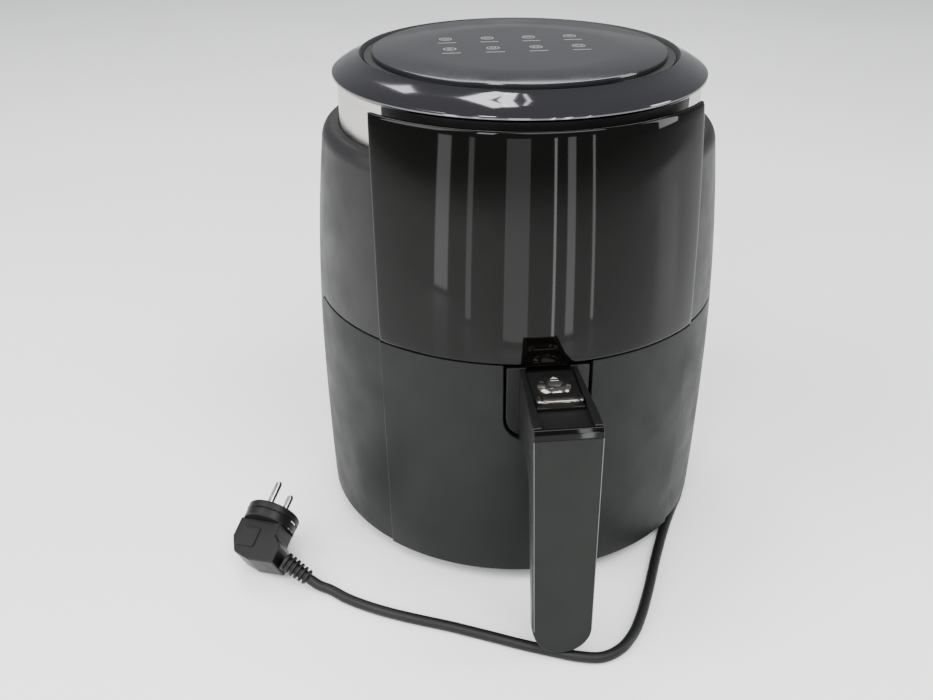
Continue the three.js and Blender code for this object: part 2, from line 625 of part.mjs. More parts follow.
/** Steel arm over the pan's rim, between the basket and the handle's bracket. */
function basketArm() {
  const [low, high] = [130, BASKET_TOP_Z];
  let arm = join(
    solid(box(-16, 16, -119.7, -117.7, 124, high)),
    solid(box(-16, 16, -119.7, -107.5, high - 2, high)),
    solid(box(-11, 11, -109.1, -107.5, low, high)),
  );
  for (const x of ARM_SCREWS) arm = arm.subtract(solid(pinAlongY(2.2, -125, -115, x, ARM_SCREW_Z, 12)));
  return arm.subtract(solid(box(-4.8, 4.8, -125, -115, LEVER_Z - 4, LEVER_Z + 7)));
}

/** Plastic bracket that fills the drawer's notch. */
function handleBracket() {
  let block = solid(notchCutter(-1.2, BRACKET_FRONT_Y, BRACKET_REAR_Y, DRAWER_TOP_Z - 2));
  block = block.subtract(solid(box(-13.4, 13.4, -150, -129, CHANNEL_FLOOR_REAR, 180)));
  for (const x of ARM_SCREWS) block = block.subtract(solid(pinAlongY(2.2, -150, -110, x, ARM_SCREW_Z, 12)));
  return block.subtract(solid(box(-4.8, 4.8, -150, -110, LEVER_Z - 4, LEVER_Z + 7)));
}

const RAIL_SLOPE = (RAIL_REAR_Z - HANDLE_TOP[1]) / (BRACKET_FRONT_Y - HANDLE_TOP[0]);
const railZ = (y) => RAIL_REAR_Z + RAIL_SLOPE * (y - BRACKET_FRONT_Y);
const CHANNEL_FLOOR_REAR = RAIL_REAR_Z - CHANNEL_DEPTH;

/** Depth of the front plate's face along Y at a height. */
const plateY = (z) => HANDLE_FOOT[0]
  + (HANDLE_TOP[0] - HANDLE_FOOT[0]) * (z - HANDLE_FOOT[1]) / (HANDLE_TOP[1] - HANDLE_FOOT[1]);

/** Front view of the grip: straight sides and a round foot, shrunk by an inset. */
function gripOutline(inset, top) {
  const foot = HANDLE_FOOT_HALF - inset;
  const low = HANDLE_FOOT[1] + inset;
  return outline([
    [-foot, low, foot * 0.96], [foot, low, foot * 0.96],
    [HANDLE_FRONT_HALF - inset, top], [-HANDLE_FRONT_HALF + inset, top],
  ], 10);
}

function handleShell() {
  const back = PLATE_THICK + GAP;
  const rear = BRACKET_FRONT_Y - GAP;
  const side = outline([
    [HANDLE_FOOT[0] + back, HANDLE_FOOT[1] - 1], [HANDLE_FOOT[0] + 8, HANDLE_FOOT[1] - 1],
    [-187, 128, 10], [rear, 118], [rear, railZ(rear)], [HANDLE_TOP[0] + back, railZ(HANDLE_TOP[0] + back)],
  ], 6);
  const plan = outline([
    [-HANDLE_FRONT_HALF, -225], [HANDLE_FRONT_HALF, -225], [HANDLE_FRONT_HALF, -196],
    [HANDLE_REAR_HALF, rear], [-HANDLE_REAR_HALF, rear], [-HANDLE_FRONT_HALF, -196],
  ]);
  let shell = solid(alongX(side, -25, 25))
    .intersect(solid(alongZ(plan, 0, 180)))
    .intersect(solid(alongY(gripOutline(0, 175), -230, -130)));
  const channel = alongX(outline([
    [rear + 5, railZ(rear + 5) - CHANNEL_DEPTH], [rear + 5, 180], [-230, 180],
    [-230, railZ(-230) - CHANNEL_DEPTH],
  ]), -14.8, 14.8);
  shell = shell.subtract(solid(channel));
  shell = shell.subtract(solid(disc(9.4, BUTTON_WELL_Z, 180, 24, 0, BUTTON_Y)));
  shell = shell.subtract(solid(disc(2.9, 120, 180, 12, 0, BUTTON_Y)).intersect(
    solid(box(-20, 20, -200, -100, LEVER_Z, 180))));
  shell = shell.subtract(solid(box(-4.8, 4.8, BUTTON_Y - 6, -100, LEVER_Z - 4, LEVER_Z + 3.8)));
  for (const x of ARM_SCREWS) shell = shell.subtract(solid(pinAlongY(2, -148, -100, x, ARM_SCREW_Z, 12)));
  return shell;
}

/** Matte front plate of the grip. */
function handlePlate() {
  const top = HANDLE_TOP[1] - 7;
  const side = alongX(outline([
    [plateY(0), 0], [plateY(0) + PLATE_THICK, 0], [plateY(top) + PLATE_THICK, top], [plateY(top), top],
  ]), -25, 25);
  return solid(side).intersect(solid(alongY(gripOutline(0.5, 170), -230, -190)));
}

/** Gloss bar along the top of the front plate. */
function handleBevel() {
  const low = HANDLE_TOP[1] - 7 + GAP;
  const high = HANDLE_TOP[1] - 0.4;
  const half = HANDLE_FRONT_HALF - 0.5;
  const side = alongX(outline([
    [plateY(low) - 0.4, low], [plateY(low) + PLATE_THICK, low], [plateY(high) + PLATE_THICK, high],
    [plateY(high) + 1.2, high], [plateY(high) - 0.4, high - 3],
  ]), -half, half);
  return side;
}

// ---------------------------------------------------------------- guard, release button and catch
const BUTTON_WELL_Z = 146;
const BUTTON_TOP_Z = 161;

/** Sliding guard over the release button, with a clear dome and a thumb bar. */
function buttonGuard() {
  const lift = (y) => railZ(y) - CHANNEL_DEPTH + GAP;
  const plate = alongX(outline([
    [GUARD_FRONT_Y, lift(GUARD_FRONT_Y)], [-139, lift(-139)], [-139, lift(-139) + 1.8],
    [GUARD_FRONT_Y, lift(GUARD_FRONT_Y) + 1.8],
  ]), -14.4, 14.4);
  const barY = (back) => GUARD_FRONT_Y + 0.2 + back;
  const dome = new THREE.SphereGeometry(1, 16, 8).scale(11.3, 11.8, 5).translate(0, BUTTON_Y, lift(BUTTON_Y) + 1);
  const bar = alongX(outline([
    [barY(0), lift(barY(0))], [barY(10), lift(barY(10))], [barY(10), lift(barY(10)) + 3.2, 1],
    [barY(7), lift(barY(7)) + 5.2, 1], [barY(2.4), lift(barY(2.4)) + 5.2, 1.2], [barY(0), lift(barY(0)) + 3, 0.8],
  ]), -14.2, 14.2);
  const under = solid(box(-20, 20, -200, -100, 100, 180)).subtract(
    solid(alongX(outline([[-200, lift(-200)], [-100, lift(-100)], [-100, 180], [-200, 180]]), -30, 30)));
  return join(solid(plate), solid(dome), solid(bar)).subtract(under);
}

const releaseButton = () => turned([
  [0, LEVER_Z + 3.3], [2.5, LEVER_Z + 3.3], [2.5, BUTTON_TOP_Z - 4], [9, BUTTON_TOP_Z - 4],
  [9, BUTTON_TOP_Z - 0.6], [8.4, BUTTON_TOP_Z], [0, BUTTON_TOP_Z],
], 16, 0, BUTTON_Y);

/** Return spring between the well's floor and the button's cap. */
function buttonSpring() {
  const [low, high] = [BUTTON_WELL_Z + 0.7, BUTTON_TOP_Z - 4.7];
  const turns = spread(0, 1, 33).map((part) => {
    const angle = 2 * Math.PI * 4 * part;
    return new THREE.Vector3(5.6 * Math.cos(angle), BUTTON_Y + 5.6 * Math.sin(angle), low + (high - low) * part);
  });
  return tube(new THREE.CatmullRomCurve3(turns), 0.45, 5, 48);
}

/** Lever under the button, whose tip holds the pan's catch tongue. */
const catchLever = () => join(
  solid(box(-4, 4, BUTTON_Y - 4, -114.4, LEVER_Z, LEVER_Z + 3)),
  solid(box(-4, 4, -115.3, -114.4, LEVER_Z, LEVER_Z + 6.4)),
);

// ---------------------------------------------------------------- safety switch
const SWITCH_Z = PAN_TOP_Z - 0.6;

function safetySwitch() {
  const rear = CHAMBER_Y + CHAMBER_HALF + SHEET;
  const body = solid(box(-10, 10, rear + 1, rear + 9, SWITCH_Z - 6, SWITCH_Z + 6));
  return body.subtract(solid(pinAlongY(1.9, rear - 10, rear + 7, 0, SWITCH_Z, 12)));
}

const switchPlunger = () =>
  pinAlongY(1.6, CHAMBER_Y + PAN_R + 2.4, CHAMBER_Y + CHAMBER_HALF + SHEET + 5, 0, SWITCH_Z, 12);

// ---------------------------------------------------------------- cord, gland and plug
/** Gland in the rear wall, with the sleeve that the cord leaves through. */
function cordGland() {
  const skinY = Math.sqrt(bodyRadius(GLAND_Z) ** 2 - GLAND_X ** 2);
  const turnedGland = new THREE.LatheGeometry([
    [0, skinY - 9], [9, skinY - 9], [9, skinY - 6.6], [6.9, skinY - 6.6], [6.9, skinY + 3.4],
    [10, skinY + 3.4], [10, skinY + 5], [6.2, skinY + 7], [4.7, SLEEVE_END_Y], [0, SLEEVE_END_Y],
  ].map(([r, y]) => point(r, y)), 20);
  return turnedGland.translate(GLAND_X, 0, GLAND_Z);
}

/** The cord's route: x, y, z from the gland's sleeve to the plug's strain relief. */
const CORD_ROUTE = [
  [45, 158.4, 30], [45, 170, 29.4], [47.5, 182, 25], [55, 194, 17], [67, 203, 10], [83, 207, 5.4],
  [100, 204, CORD_Z], [118, 194, CORD_Z], [133, 178, CORD_Z], [144, 157, CORD_Z], [150, 132, CORD_Z],
  [151, 104, CORD_Z], [149, 76, CORD_Z], [145, 48, CORD_Z], [140, 20, CORD_Z], [134, -8, CORD_Z],
  [127.5, -34, CORD_Z], [119.5, -57, CORD_Z], [110, -74, CORD_Z], [98.8, -95, CORD_Z], [83.5, -127, CORD_Z],
  [69, -160, CORD_Z], [57.5, -184, CORD_Z], [48.5, -199, CORD_Z], [37.5, -210.5, CORD_Z],
  [25, -215.8, CORD_Z], [11, -213.6, CORD_Z], [-5, -207.3, CORD_Z], [-22, -199.8, CORD_Z],
  [-43, -189.5, CORD_Z], [-66, -178.5, CORD_Z], [-89, -168.6, CORD_Z], [-106, -160.5, CORD_Z],
  [-120, -152.5, CORD_Z], [-131, -144.9, CORD_Z], [-141.8, -135.6, 4], [-149.4, -131.8, 5.3],
  [-155.5, -128.2, 8.2],
];

function powerCord() {
  const curve = new THREE.CatmullRomCurve3(
    CORD_ROUTE.map(([x, y, z]) => new THREE.Vector3(x, y, z)), false, 'centripetal');
  curve.arcLengthDivisions = 600;
  return tube(curve, CORD_R, 8, 80);
}

const PLUG_AT = [-179.1, -78.7, 28];             // centre of the plug's face
const PLUG_HEADING = 26;                        // degrees from +Y towards +X that the pins point
const PLUG_TILT = 26;                           // degrees that the pins point up
const PLUG_ROLL = -9;                           // degrees of the pin pair's turn about the pins' direction
const FACE_R = 18.6;
const PIN_SPACING = 19;
const PIN_R = 2.4;
const PLUG_HALF_WIDTH = 10;
const NECK = [22, -34];                         // start of the strain relief: along the cord, behind the face
const NECK_BACK = 16;                           // degrees that the strain relief leans away from the pins
const NECK_DOWN = 29.5;                         // degrees that it leans down to the table
const RELIEF_LENGTH = 19;
const RELIEF_START = NECK[0] + 3.6;

/** The plug's own frame: +Z along its pins, +X along its cord, and the pins side by side along Y. */
function plugFrame() {
  const frame = new THREE.Group();
  frame.position.set(...PLUG_AT);
  frame.rotation.set(
    radians(PLUG_TILT - 90), 0, radians(-PLUG_HEADING), 'ZXY');
  frame.rotateZ(radians(PLUG_ROLL));
  fryer.add(frame);
  return frame;
}

function plugBody() {
  const side = outline([
    [-17.5, -9, 0], [-17.5, -26, 3], [-11, -37, 3], [2, -41, 4], [NECK[0], NECK[1] - 6.8, 1],
    [NECK[0], NECK[1] + 6.8, 1], [15.5, -21, 3], [15.5, -9, 0],
  ], 3);
  const place = new THREE.Matrix4().makeBasis(
    new THREE.Vector3(1, 0, 0), new THREE.Vector3(0, 0, 1), new THREE.Vector3(0, -1, 0));
  const bodySide = flat(side, 2 * PLUG_HALF_WIDTH).applyMatrix4(place).translate(0, PLUG_HALF_WIDTH, 0);
  const face = turned([
    [0, -11], [FACE_R - 1, -11], [FACE_R, -10], [FACE_R, -1], [FACE_R - 1, 0], [0, 0],
  ], 32);
  let body = join(solid(bodySide), solid(face));
  for (const way of [-1, 1]) {
    body = body.subtract(solid(box(way * FACE_R - 2, way * FACE_R + 2, -4.3, 4.3, -12, 5)));
    body = body.subtract(solid(disc(PIN_R + GAP, -14, 5, 12, 0, way * PIN_SPACING / 2)));
  }
  return body;
}

const plugPin = (way) => turned([
  [0, -13], [PIN_R, -13], [PIN_R, 18], [1.4, 19], [0, 19],
], 12, 0, way * PIN_SPACING / 2);

const earthClip = (way) => {
  const [inner, outer] = [way * (FACE_R - 1.7), way * (FACE_R - 0.7)].sort((a, b) => a - b);
  return box(inner, outer, -3, 3, -11.4, -0.6);
};

function plugRelief() {
  const profile = [[0, 0], [6.4, 0], [5.2, RELIEF_LENGTH], [0, RELIEF_LENGTH]];
  return turned(profile, 16).rotateY(radians(90 + NECK_BACK)).rotateZ(radians(NECK_DOWN))
    .translate(RELIEF_START, 0, NECK[1]);
}

// ---------------------------------------------------------------- the assembly
add('base_plate', basePlate(), BLACK);
[[40, 'front_right'], [140, 'rear_right'], [220, 'rear_left'], [320, 'front_left']].forEach(([degrees, place]) =>
  add(`foot_${place}`, foot(...around(106, degrees)), RUBBER));
SCREW_ANGLES.forEach((degrees, i) =>
  add(`base_screw_${i + 1}`, upwardScrew(...around(SCREW_CIRCLE, degrees), BODY_BOTTOM_Z + 0.1, 9), GALVANISED));
add('outer_shell', outerShell(), CHARCOAL);
add('inner_housing', innerHousing(), BLACK);
add('chamber_liner', chamberLiner(), GALVANISED);
add('chamber_roof', chamberRoof(), GALVANISED);
add('exhaust_duct', exhaustDuct(), GALVANISED);
add('air_outlet', airOutlet(), BLACK);
add('heating_element', heatingElement(), COATED);
add('temperature_sensor', disc(2.4, 200, 228, 12, ...SENSOR_AT), BRIGHT);
add('motor_bracket', motorBracket(), GALVANISED);
add('motor', motorBody(), MOTOR_STEEL);
add('motor_shaft', disc(SHAFT_R, 201, 275, 16, 0, CHAMBER_Y), BRIGHT);
add('hot_air_fan', fan(78, FAN_Z, 196, FAN_Z + 0.5, 12, 202, 215), GALVANISED);
add('cooling_fan', fan(44, 262, 262.5, 273, 9, 260, 272), BLACK);
add('power_board', box(-50, 50, -45, 45, 296.2, 297.8), BOARD_GREEN);
add('thermal_fuse', box(40, 60, CHAMBER_Y - 40, CHAMBER_Y - 32, ROOF_TOP_Z + GAP, ROOF_TOP_Z + 6), GLASS_BLACK);
add('safety_switch', safetySwitch(), BLACK);
add('switch_plunger', switchPlunger(), RUBBER);
add('front_panel', frontPanel(), PIANO_BLACK);
add('collar_band', ring(COLLAR_R - 1.2, COLLAR_R, SHOULDER_Z - 5, RING_BOTTOM_Z - 0.4), BRUSHED);
add('top_carrier', topCarrier(), BLACK);
add('top_ring', topRing(), GUNMETAL);
add('groove_seal', grooveSeal(), BLACK);
add('touch_panel', touchPanel(), GLASS_BLACK);
add('control_board', disc(88, BOARD_Z, BOARD_Z + 1.6, INNER_SIDES), BOARD_GREEN);

add('drawer_front', drawerFront(), DARK_GREY);
add('drawer_cover', drawerCover(), BLACK);
BOSSES.forEach(([x, z], i) => {
  const coverY = -Math.sqrt((COVER_R - 2.4) ** 2 - x * x);
  add(`drawer_screw_${i + 1}`, screwAlongY(x, z, coverY + 4.4, drawerScrewTip(x, z)), GALVANISED);
});
add('pan', pan(), COATED);
add('pan_bracket', panBracket(), GALVANISED);
add('basket', basket(), COATED);
add('basket_arm', basketArm(), GALVANISED);
add('handle_bracket', handleBracket(), BLACK);
ARM_SCREWS.forEach((x, i) =>
  add(`arm_screw_${i + 1}`, screwAlongY(x, ARM_SCREW_Z, -115.4, -146), GALVANISED));
add('handle_shell', handleShell(), BLACK);
add('handle_plate', handlePlate(), DARK_GREY);
add('handle_bevel', handleBevel(), GUNMETAL);
add('button_guard', buttonGuard(), SMOKE);
add('release_button', releaseButton(), BLACK);
add('button_spring', buttonSpring(), BRIGHT);
add('catch_lever', catchLever(), GALVANISED);

add('cord_gland', cordGland(), RUBBER);
add('power_cord', powerCord(), RUBBER);
const plug = plugFrame();
const addToPlug = (name, piece, material) => plug.add(add(name, piece, material));
addToPlug('plug_body', plugBody(), BLACK);
addToPlug('plug_strain_relief', plugRelief(), RUBBER);
[-1, 1].forEach((way, i) => {
  addToPlug(`plug_pin_${i + 1}`, plugPin(way), BRIGHT);
  addToPlug(`earth_clip_${i + 1}`, earthClip(way), BRIGHT);
});

export default fryer;
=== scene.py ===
import json
import math

import bmesh
import bpy
from mathutils import Matrix, Vector


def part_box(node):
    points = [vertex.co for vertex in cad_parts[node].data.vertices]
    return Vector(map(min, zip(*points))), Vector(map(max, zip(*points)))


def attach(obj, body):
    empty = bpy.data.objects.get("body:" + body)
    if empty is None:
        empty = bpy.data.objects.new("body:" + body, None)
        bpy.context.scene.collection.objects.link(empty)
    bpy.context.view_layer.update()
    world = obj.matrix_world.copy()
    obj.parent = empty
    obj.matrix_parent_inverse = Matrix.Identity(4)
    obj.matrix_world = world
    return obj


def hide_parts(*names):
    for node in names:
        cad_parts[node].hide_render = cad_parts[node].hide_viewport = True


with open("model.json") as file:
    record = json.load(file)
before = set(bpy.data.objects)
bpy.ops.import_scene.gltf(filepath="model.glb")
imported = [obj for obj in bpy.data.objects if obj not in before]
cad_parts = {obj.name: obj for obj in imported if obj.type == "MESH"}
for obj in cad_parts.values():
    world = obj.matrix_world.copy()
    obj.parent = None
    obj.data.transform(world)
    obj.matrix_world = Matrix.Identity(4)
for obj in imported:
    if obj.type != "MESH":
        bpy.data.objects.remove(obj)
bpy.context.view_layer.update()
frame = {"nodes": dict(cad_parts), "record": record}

bl_info = {
    "name": "Round air fryer",
    "version": (1, 0, 0),
    "blender": (4, 5, 0),
    "location": "View3D > Sidebar > Air fryer",
    "description": "Builds the visible pieces of a round air fryer around its packed CAD frame",
    "category": "Object",
}

MM = 0.001

# ---------------------------------------------------------------- sizes, in millimetres
SHELL_LOW, SHELL_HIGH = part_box("outer_shell")
RING_LOW, RING_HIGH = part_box("top_ring")
DRAWER_LOW, DRAWER_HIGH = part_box("drawer_front")
TOUCH_LOW, TOUCH_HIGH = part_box("touch_panel")

AXIS_Y = (RING_LOW.y + RING_HIGH.y) / 2 / MM      # the body's upright axis
BELLY_R = SHELL_HIGH.x / MM                       # widest radius of the barrel-shaped body
BELLY_Z = 123
TABLE_R = 136.4
SHOULDER_R = 129
SHOULDER_Z = SHELL_HIGH.z / MM
FILLET_R = 11                                     # soft fold at the top of the shell
LEDGE_R = 122.4                                   # outer edge of the flat ledge round the steel band
LIP_R = 118.4
SHELL_WALL = 2.6
SHELL_LOW_Z = SHELL_LOW.z / MM
SEAM = 1
WING_ANGLE = 82.6                                 # degrees from the front to the drawer's rear edges
WING_CORNER = 14
DRAWER_LOW_Z = DRAWER_LOW.z / MM
DRAWER_TOP_Z = DRAWER_HIGH.z / MM
DRAWER_WALL = 3
BAND_PROUD = 1.4
BAND_RAMP = 0.9
PANEL_TOP_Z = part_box("front_panel")[1].z / MM
PANEL_TOP_HALF = 100
PANEL_BOTTOM_HALF = 99.6
BAND_BOTTOM_HALF = 97
PANEL_PROUD = 2
PANEL_EDGE = 1.9                                  # how far in from the outline the panel starts to round
NOTCH_HALF = 26.8
NOTCH_BOTTOM_Z = 116
NOTCH_CORNER = 15
BRACKET_FRONT_Y = -137
HANDLE_TOP = (-202, 163.5)
HANDLE_FOOT = (-214, 8)
HANDLE_FRONT_HALF = 20.3
HANDLE_FOOT_HALF = 18.2
PLATE_THICK = 2.2
RAIL_REAR_Z = 166.6
CHANNEL_DEPTH = 4
GUARD_FRONT_Y = -178
BUTTON_Y = -154.5
TOP_Z = TOUCH_HIGH.z / MM
TOUCH_Z = TOUCH_LOW.z / MM
TOUCH_R = TOUCH_HIGH.x / MM
COLLAR_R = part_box("collar_band")[1].x / MM
CHAMBER_Y = -8
PAN_R = 104
PAN_TOP_Z = 142
PAN_BOTTOM_Z = 17
BASKET_R = 98
BASKET_TOP_Z = 154
BASKET_BOTTOM_Z = 28
SHEET = 1.2

OUTLET_HALF = 40.3                                # the rear air outlet's opening in the shell
OUTLET_LOW_Z = 177
OUTLET_HIGH_Z = 241
GLAND_X = 45
GLAND_Z = 30
DOME_SIZE = (11.3, 11.8, 5)                       # half-widths and height of the dome on the guard
BAR_SIZE = (14, 5.2, 3.2)                         # half-sizes of the thumb bar
BAR_POWER = 4.5                                   # how square the thumb bar is: 2 would be an ellipsoid
PRINT_THICK = 0.03
COLUMN_GAP = 28                                   # between the touch panel's marks

CORD_R = 3.5
CORD_Z = 3.6
CORD_ROUTE = [
    (45, 158.4, 30), (45, 170, 29.4), (47.5, 182, 25), (55, 194, 17), (67, 203, 10), (83, 207, 5.4),
    (100, 204, CORD_Z), (118, 194, CORD_Z), (133, 178, CORD_Z), (144, 157, CORD_Z), (150, 132, CORD_Z),
    (151, 104, CORD_Z), (149, 76, CORD_Z), (145, 48, CORD_Z), (140, 20, CORD_Z), (134, -8, CORD_Z),
    (127.5, -34, CORD_Z), (119.5, -57, CORD_Z), (110, -74, CORD_Z), (98.8, -95, CORD_Z), (83.5, -127, CORD_Z),
    (69, -160, CORD_Z), (57.5, -184, CORD_Z), (48.5, -199, CORD_Z), (37.5, -210.5, CORD_Z),
    (25, -215.8, CORD_Z), (11, -213.6, CORD_Z), (-5, -207.3, CORD_Z), (-22, -199.8, CORD_Z),
    (-43, -189.5, CORD_Z), (-66, -178.5, CORD_Z), (-89, -168.6, CORD_Z), (-106, -160.5, CORD_Z),
    (-120, -152.5, CORD_Z), (-131, -144.9, CORD_Z), (-141.8, -135.6, 4), (-149.4, -131.8, 5.3),
    (-155.5, -128.2, 8.2),
]
PLUG_AT = (-179.1, -78.7, 28)                     # centre of the plug's face
PLUG_HEADING = 26
PLUG_TILT = 26
PLUG_ROLL = -9
FACE_R = 18.6
PIN_SPACING = 19
PIN_R = 2.4
PLUG_HALF_WIDTH = 10
NECK = (22, -34)
NECK_BACK = 16
NECK_DOWN = 29.5
RELIEF_LENGTH = 19
RELIEF_START = NECK[0] + 3.6

# upright lamps that only the gloss panel mirrors: x, width, power
LOW_STRIPS = [(-0.56, 0.1, 0.5), (-0.33, 0.03, 0.09), (-0.08, 0.11, 0.26), (0.09, 0.012, 0.12),
              (0.17, 0.04, 0.2), (0.3, 0.015, 0.1)]

CAMERA_AT = (-0.10856, -0.63627, 0.4737)
CAMERA_LENS = 39.74
CAMERA_PITCH = 28.6
CAMERA_HEADING = 6.28
CAMERA_ROLL = -0.21


# ---------------------------------------------------------------- settings a user can change
def length(name, description, default):
    return bpy.props.FloatProperty(name=name, description=description, default=default, unit="LENGTH")


def colour(name, description, default):
    return bpy.props.FloatVectorProperty(
        name=name, description=description, default=default, subtype="COLOR", size=3, min=0, max=1)


class FryerSizes(bpy.types.PropertyGroup):
    """Sizes of the fryer's edges and prints."""

    panel_bevel: length("Panel edge", "Width of the gloss panel's bevelled edge", 0.0011)
    drawer_bevel: length("Drawer edge", "Width of the drawer front's rounded edge", 0.0006)
    handle_bevel: length("Handle edge", "Width of the handle's rounded edges", 0.0009)
    icon_stroke: length("Icon stroke", "Width of the printed lines on the touch panel", 0.0005)
    grain: length("Grain", "Depth of the moulded grain on matte plastic", 0.00004)


class FryerColours(bpy.types.PropertyGroup):
    """Colours of the fryer's finishes."""

    charcoal: colour("Shell", "Satin plastic of the outer shell", (0.0095, 0.0091, 0.0099))
    drawer: colour("Drawer", "Matte plastic of the drawer front", (0.0056, 0.0068, 0.0058))
    gloss: colour("Gloss panel", "High-gloss plastic of the front panel", (0.0016, 0.0014, 0.0012))
    black: colour("Black plastic", "Matte black plastic", (0.0045, 0.0045, 0.0047))
    gunmetal: colour("Top ring", "Gunmetal plating of the top ring", (0.12, 0.117, 0.128))
    touch: colour("Touch panel", "Gloss top of the touch panel", (0.01, 0.0105, 0.0125))
    steel: colour("Steel band", "Brushed steel of the band", (0.62, 0.6, 0.56))
    rubber: colour("Rubber", "Soft black rubber and cord", (0.0045, 0.0045, 0.0048))
    print: colour("Print", "Printed icons", (0.3, 0.3, 0.31))
    floor: colour("Floor", "Pale floor", (0.93, 0.94, 0.93))


# ---------------------------------------------------------------- materials
def finish(name, base, roughness, metallic=0.0, coat=0.0, coat_roughness=0.03, specular=0.5):
    """A Principled material with its constants on its own sockets."""
    material = bpy.data.materials.new(name + "_finish")
    KNOWN[name] = material
    material.use_nodes = True
    shader = material.node_tree.nodes["Principled BSDF"]
    shader.inputs["Base Color"].default_value = (*base, 1)
    shader.inputs["Roughness"].default_value = roughness
    shader.inputs["Metallic"].default_value = metallic
    shader.inputs["Coat Weight"].default_value = coat
    shader.inputs["Coat Roughness"].default_value = coat_roughness
    shader.inputs["Specular IOR Level"].default_value = specular
    material.diffuse_color = (*base, 1)
    return material


def noise(material, scale, detail=3.0, stretch=(1, 1, 1)):
    """Noise on the object's own coordinates, stretched along its axes."""
    tree = material.node_tree
    place = tree.nodes.new("ShaderNodeTexCoord")
    mapping = tree.nodes.new("ShaderNodeMapping")
    mapping.inputs["Scale"].default_value = stretch
    texture = tree.nodes.new("ShaderNodeTexNoise")
    texture.inputs["Scale"].default_value = scale
    texture.inputs["Detail"].default_value = detail
    tree.links.new(place.outputs["Object"], mapping.inputs["Vector"])
    tree.links.new(mapping.outputs["Vector"], texture.inputs["Vector"])
    return texture.outputs["Fac"]


def vary_roughness(material, source, low, high):
    tree = material.node_tree
    ramp = tree.nodes.new("ShaderNodeMapRange")
    ramp.inputs["From Min"].default_value = 0.3
    ramp.inputs["From Max"].default_value = 0.7
    ramp.inputs["To Min"].default_value = low
    ramp.inputs["To Max"].default_value = high
    tree.links.new(source, ramp.inputs["Value"])
    tree.links.new(ramp.outputs["Result"], tree.nodes["Principled BSDF"].inputs["Roughness"])


def vary_colour(material, source, base, amount):
    """Lightens and darkens the base colour a little with a texture."""
    tree = material.node_tree
    ramp = tree.nodes.new("ShaderNodeValToRGB")
    ramp.color_ramp.elements[0].position = 0.35
    ramp.color_ramp.elements[1].position = 0.65
    ramp.color_ramp.elements[0].color = (*[c * (1 - amount) for c in base], 1)
    ramp.color_ramp.elements[1].color = (*[min(1, c * (1 + amount)) for c in base], 1)
    tree.links.new(source, ramp.inputs["Fac"])
    tree.links.new(ramp.outputs["Color"], tree.nodes["Principled BSDF"].inputs["Base Color"])


def bump(material, source, depth, strength=1.0):
    tree = material.node_tree
    node = tree.nodes.new("ShaderNodeBump")
    node.inputs["Strength"].default_value = strength
    node.inputs["Distance"].default_value = depth
    tree.links.new(source, node.inputs["Height"])
    tree.links.new(node.outputs["Normal"], tree.nodes["Principled BSDF"].inputs["Normal"])


def moulded(name, base, roughness, specular=0.26):
    """Injection-moulded plastic: a fine spark-eroded grain and slight handling marks."""
    material = finish(name, base, roughness, specular=specular)
    vary_colour(material, noise(material, 14, 4), base, 0.1)
    vary_roughness(material, noise(material, 40, 5), roughness - 0.07, roughness + 0.07)
    bump(material, noise(material, 1500, 2), bpy.context.scene.fryer_sizes.grain, 0.55)
    return material


def glossy(name, base, roughness, coat=1.0, metallic=0.0, specular=0.5):
    """Polished or plated plastic with faint wipe marks."""
    material = finish(name, base, roughness, metallic=metallic, coat=coat, specular=specular)
    vary_roughness(material, noise(material, 22, 6, (1, 1, 0.4)), roughness * 0.7, roughness * 1.5)
    bump(material, noise(material, 9, 1), 0.00004, 0.25)
    return material


def brushed(name, base, roughness, stretch=(1, 1, 60)):
    """Steel with fine scratches along the direction that the stretch is smallest in."""
    material = finish(name, base, roughness, metallic=1.0)
    lines = noise(material, 60, 6, stretch)
    vary_colour(material, lines, base, 0.12)
    vary_roughness(material, lines, roughness - 0.08, roughness + 0.1)
    bump(material, noise(material, 90, 4, stretch), 0.00003, 0.5)
    return material


KNOWN = {}


def finishes():
    """All the fryer's materials, by the record's material slot. Made once."""
    if "print" not in KNOWN:
        make_finishes()
    return KNOWN


def make_finishes():
    colours = bpy.context.scene.fryer_colours
    moulded("charcoal_shell", colours.charcoal, 0.46)
    moulded("drawer_grey", colours.drawer, 0.5, specular=0.2)
    glossy("piano_black", colours.gloss, 0.04, coat=0, specular=0.17)
    moulded("black_plastic", colours.black, 0.42)
    glossy("gunmetal_plating", colours.gunmetal, 0.07, coat=0.25, metallic=1.0)
    glossy("smoke_plastic", (0.16, 0.15, 0.14), 0.13, coat=0.4, metallic=0.95)
    brushed("brushed_band", colours.steel, 0.3)
    bright = finish("bright_steel", (0.75, 0.75, 0.76), 0.12, metallic=1.0)
    vary_roughness(bright, noise(bright, 300, 3), 0.08, 0.2)
    moulded("nonstick_coating", (0.016, 0.016, 0.017), 0.36, specular=0.5)
    brushed("galvanised_steel", (0.4, 0.41, 0.42), 0.38, (1, 1, 1))
    brushed("motor_steel", (0.2, 0.21, 0.22), 0.48, (1, 1, 80))
    moulded("rubber", colours.rubber, 0.5)
    moulded("circuit_board", (0.014, 0.1, 0.035), 0.4)
    glossy("touch_glass", colours.touch, 0.14, coat=0, specular=0.5)
    moulded("print", colours.print, 0.5)


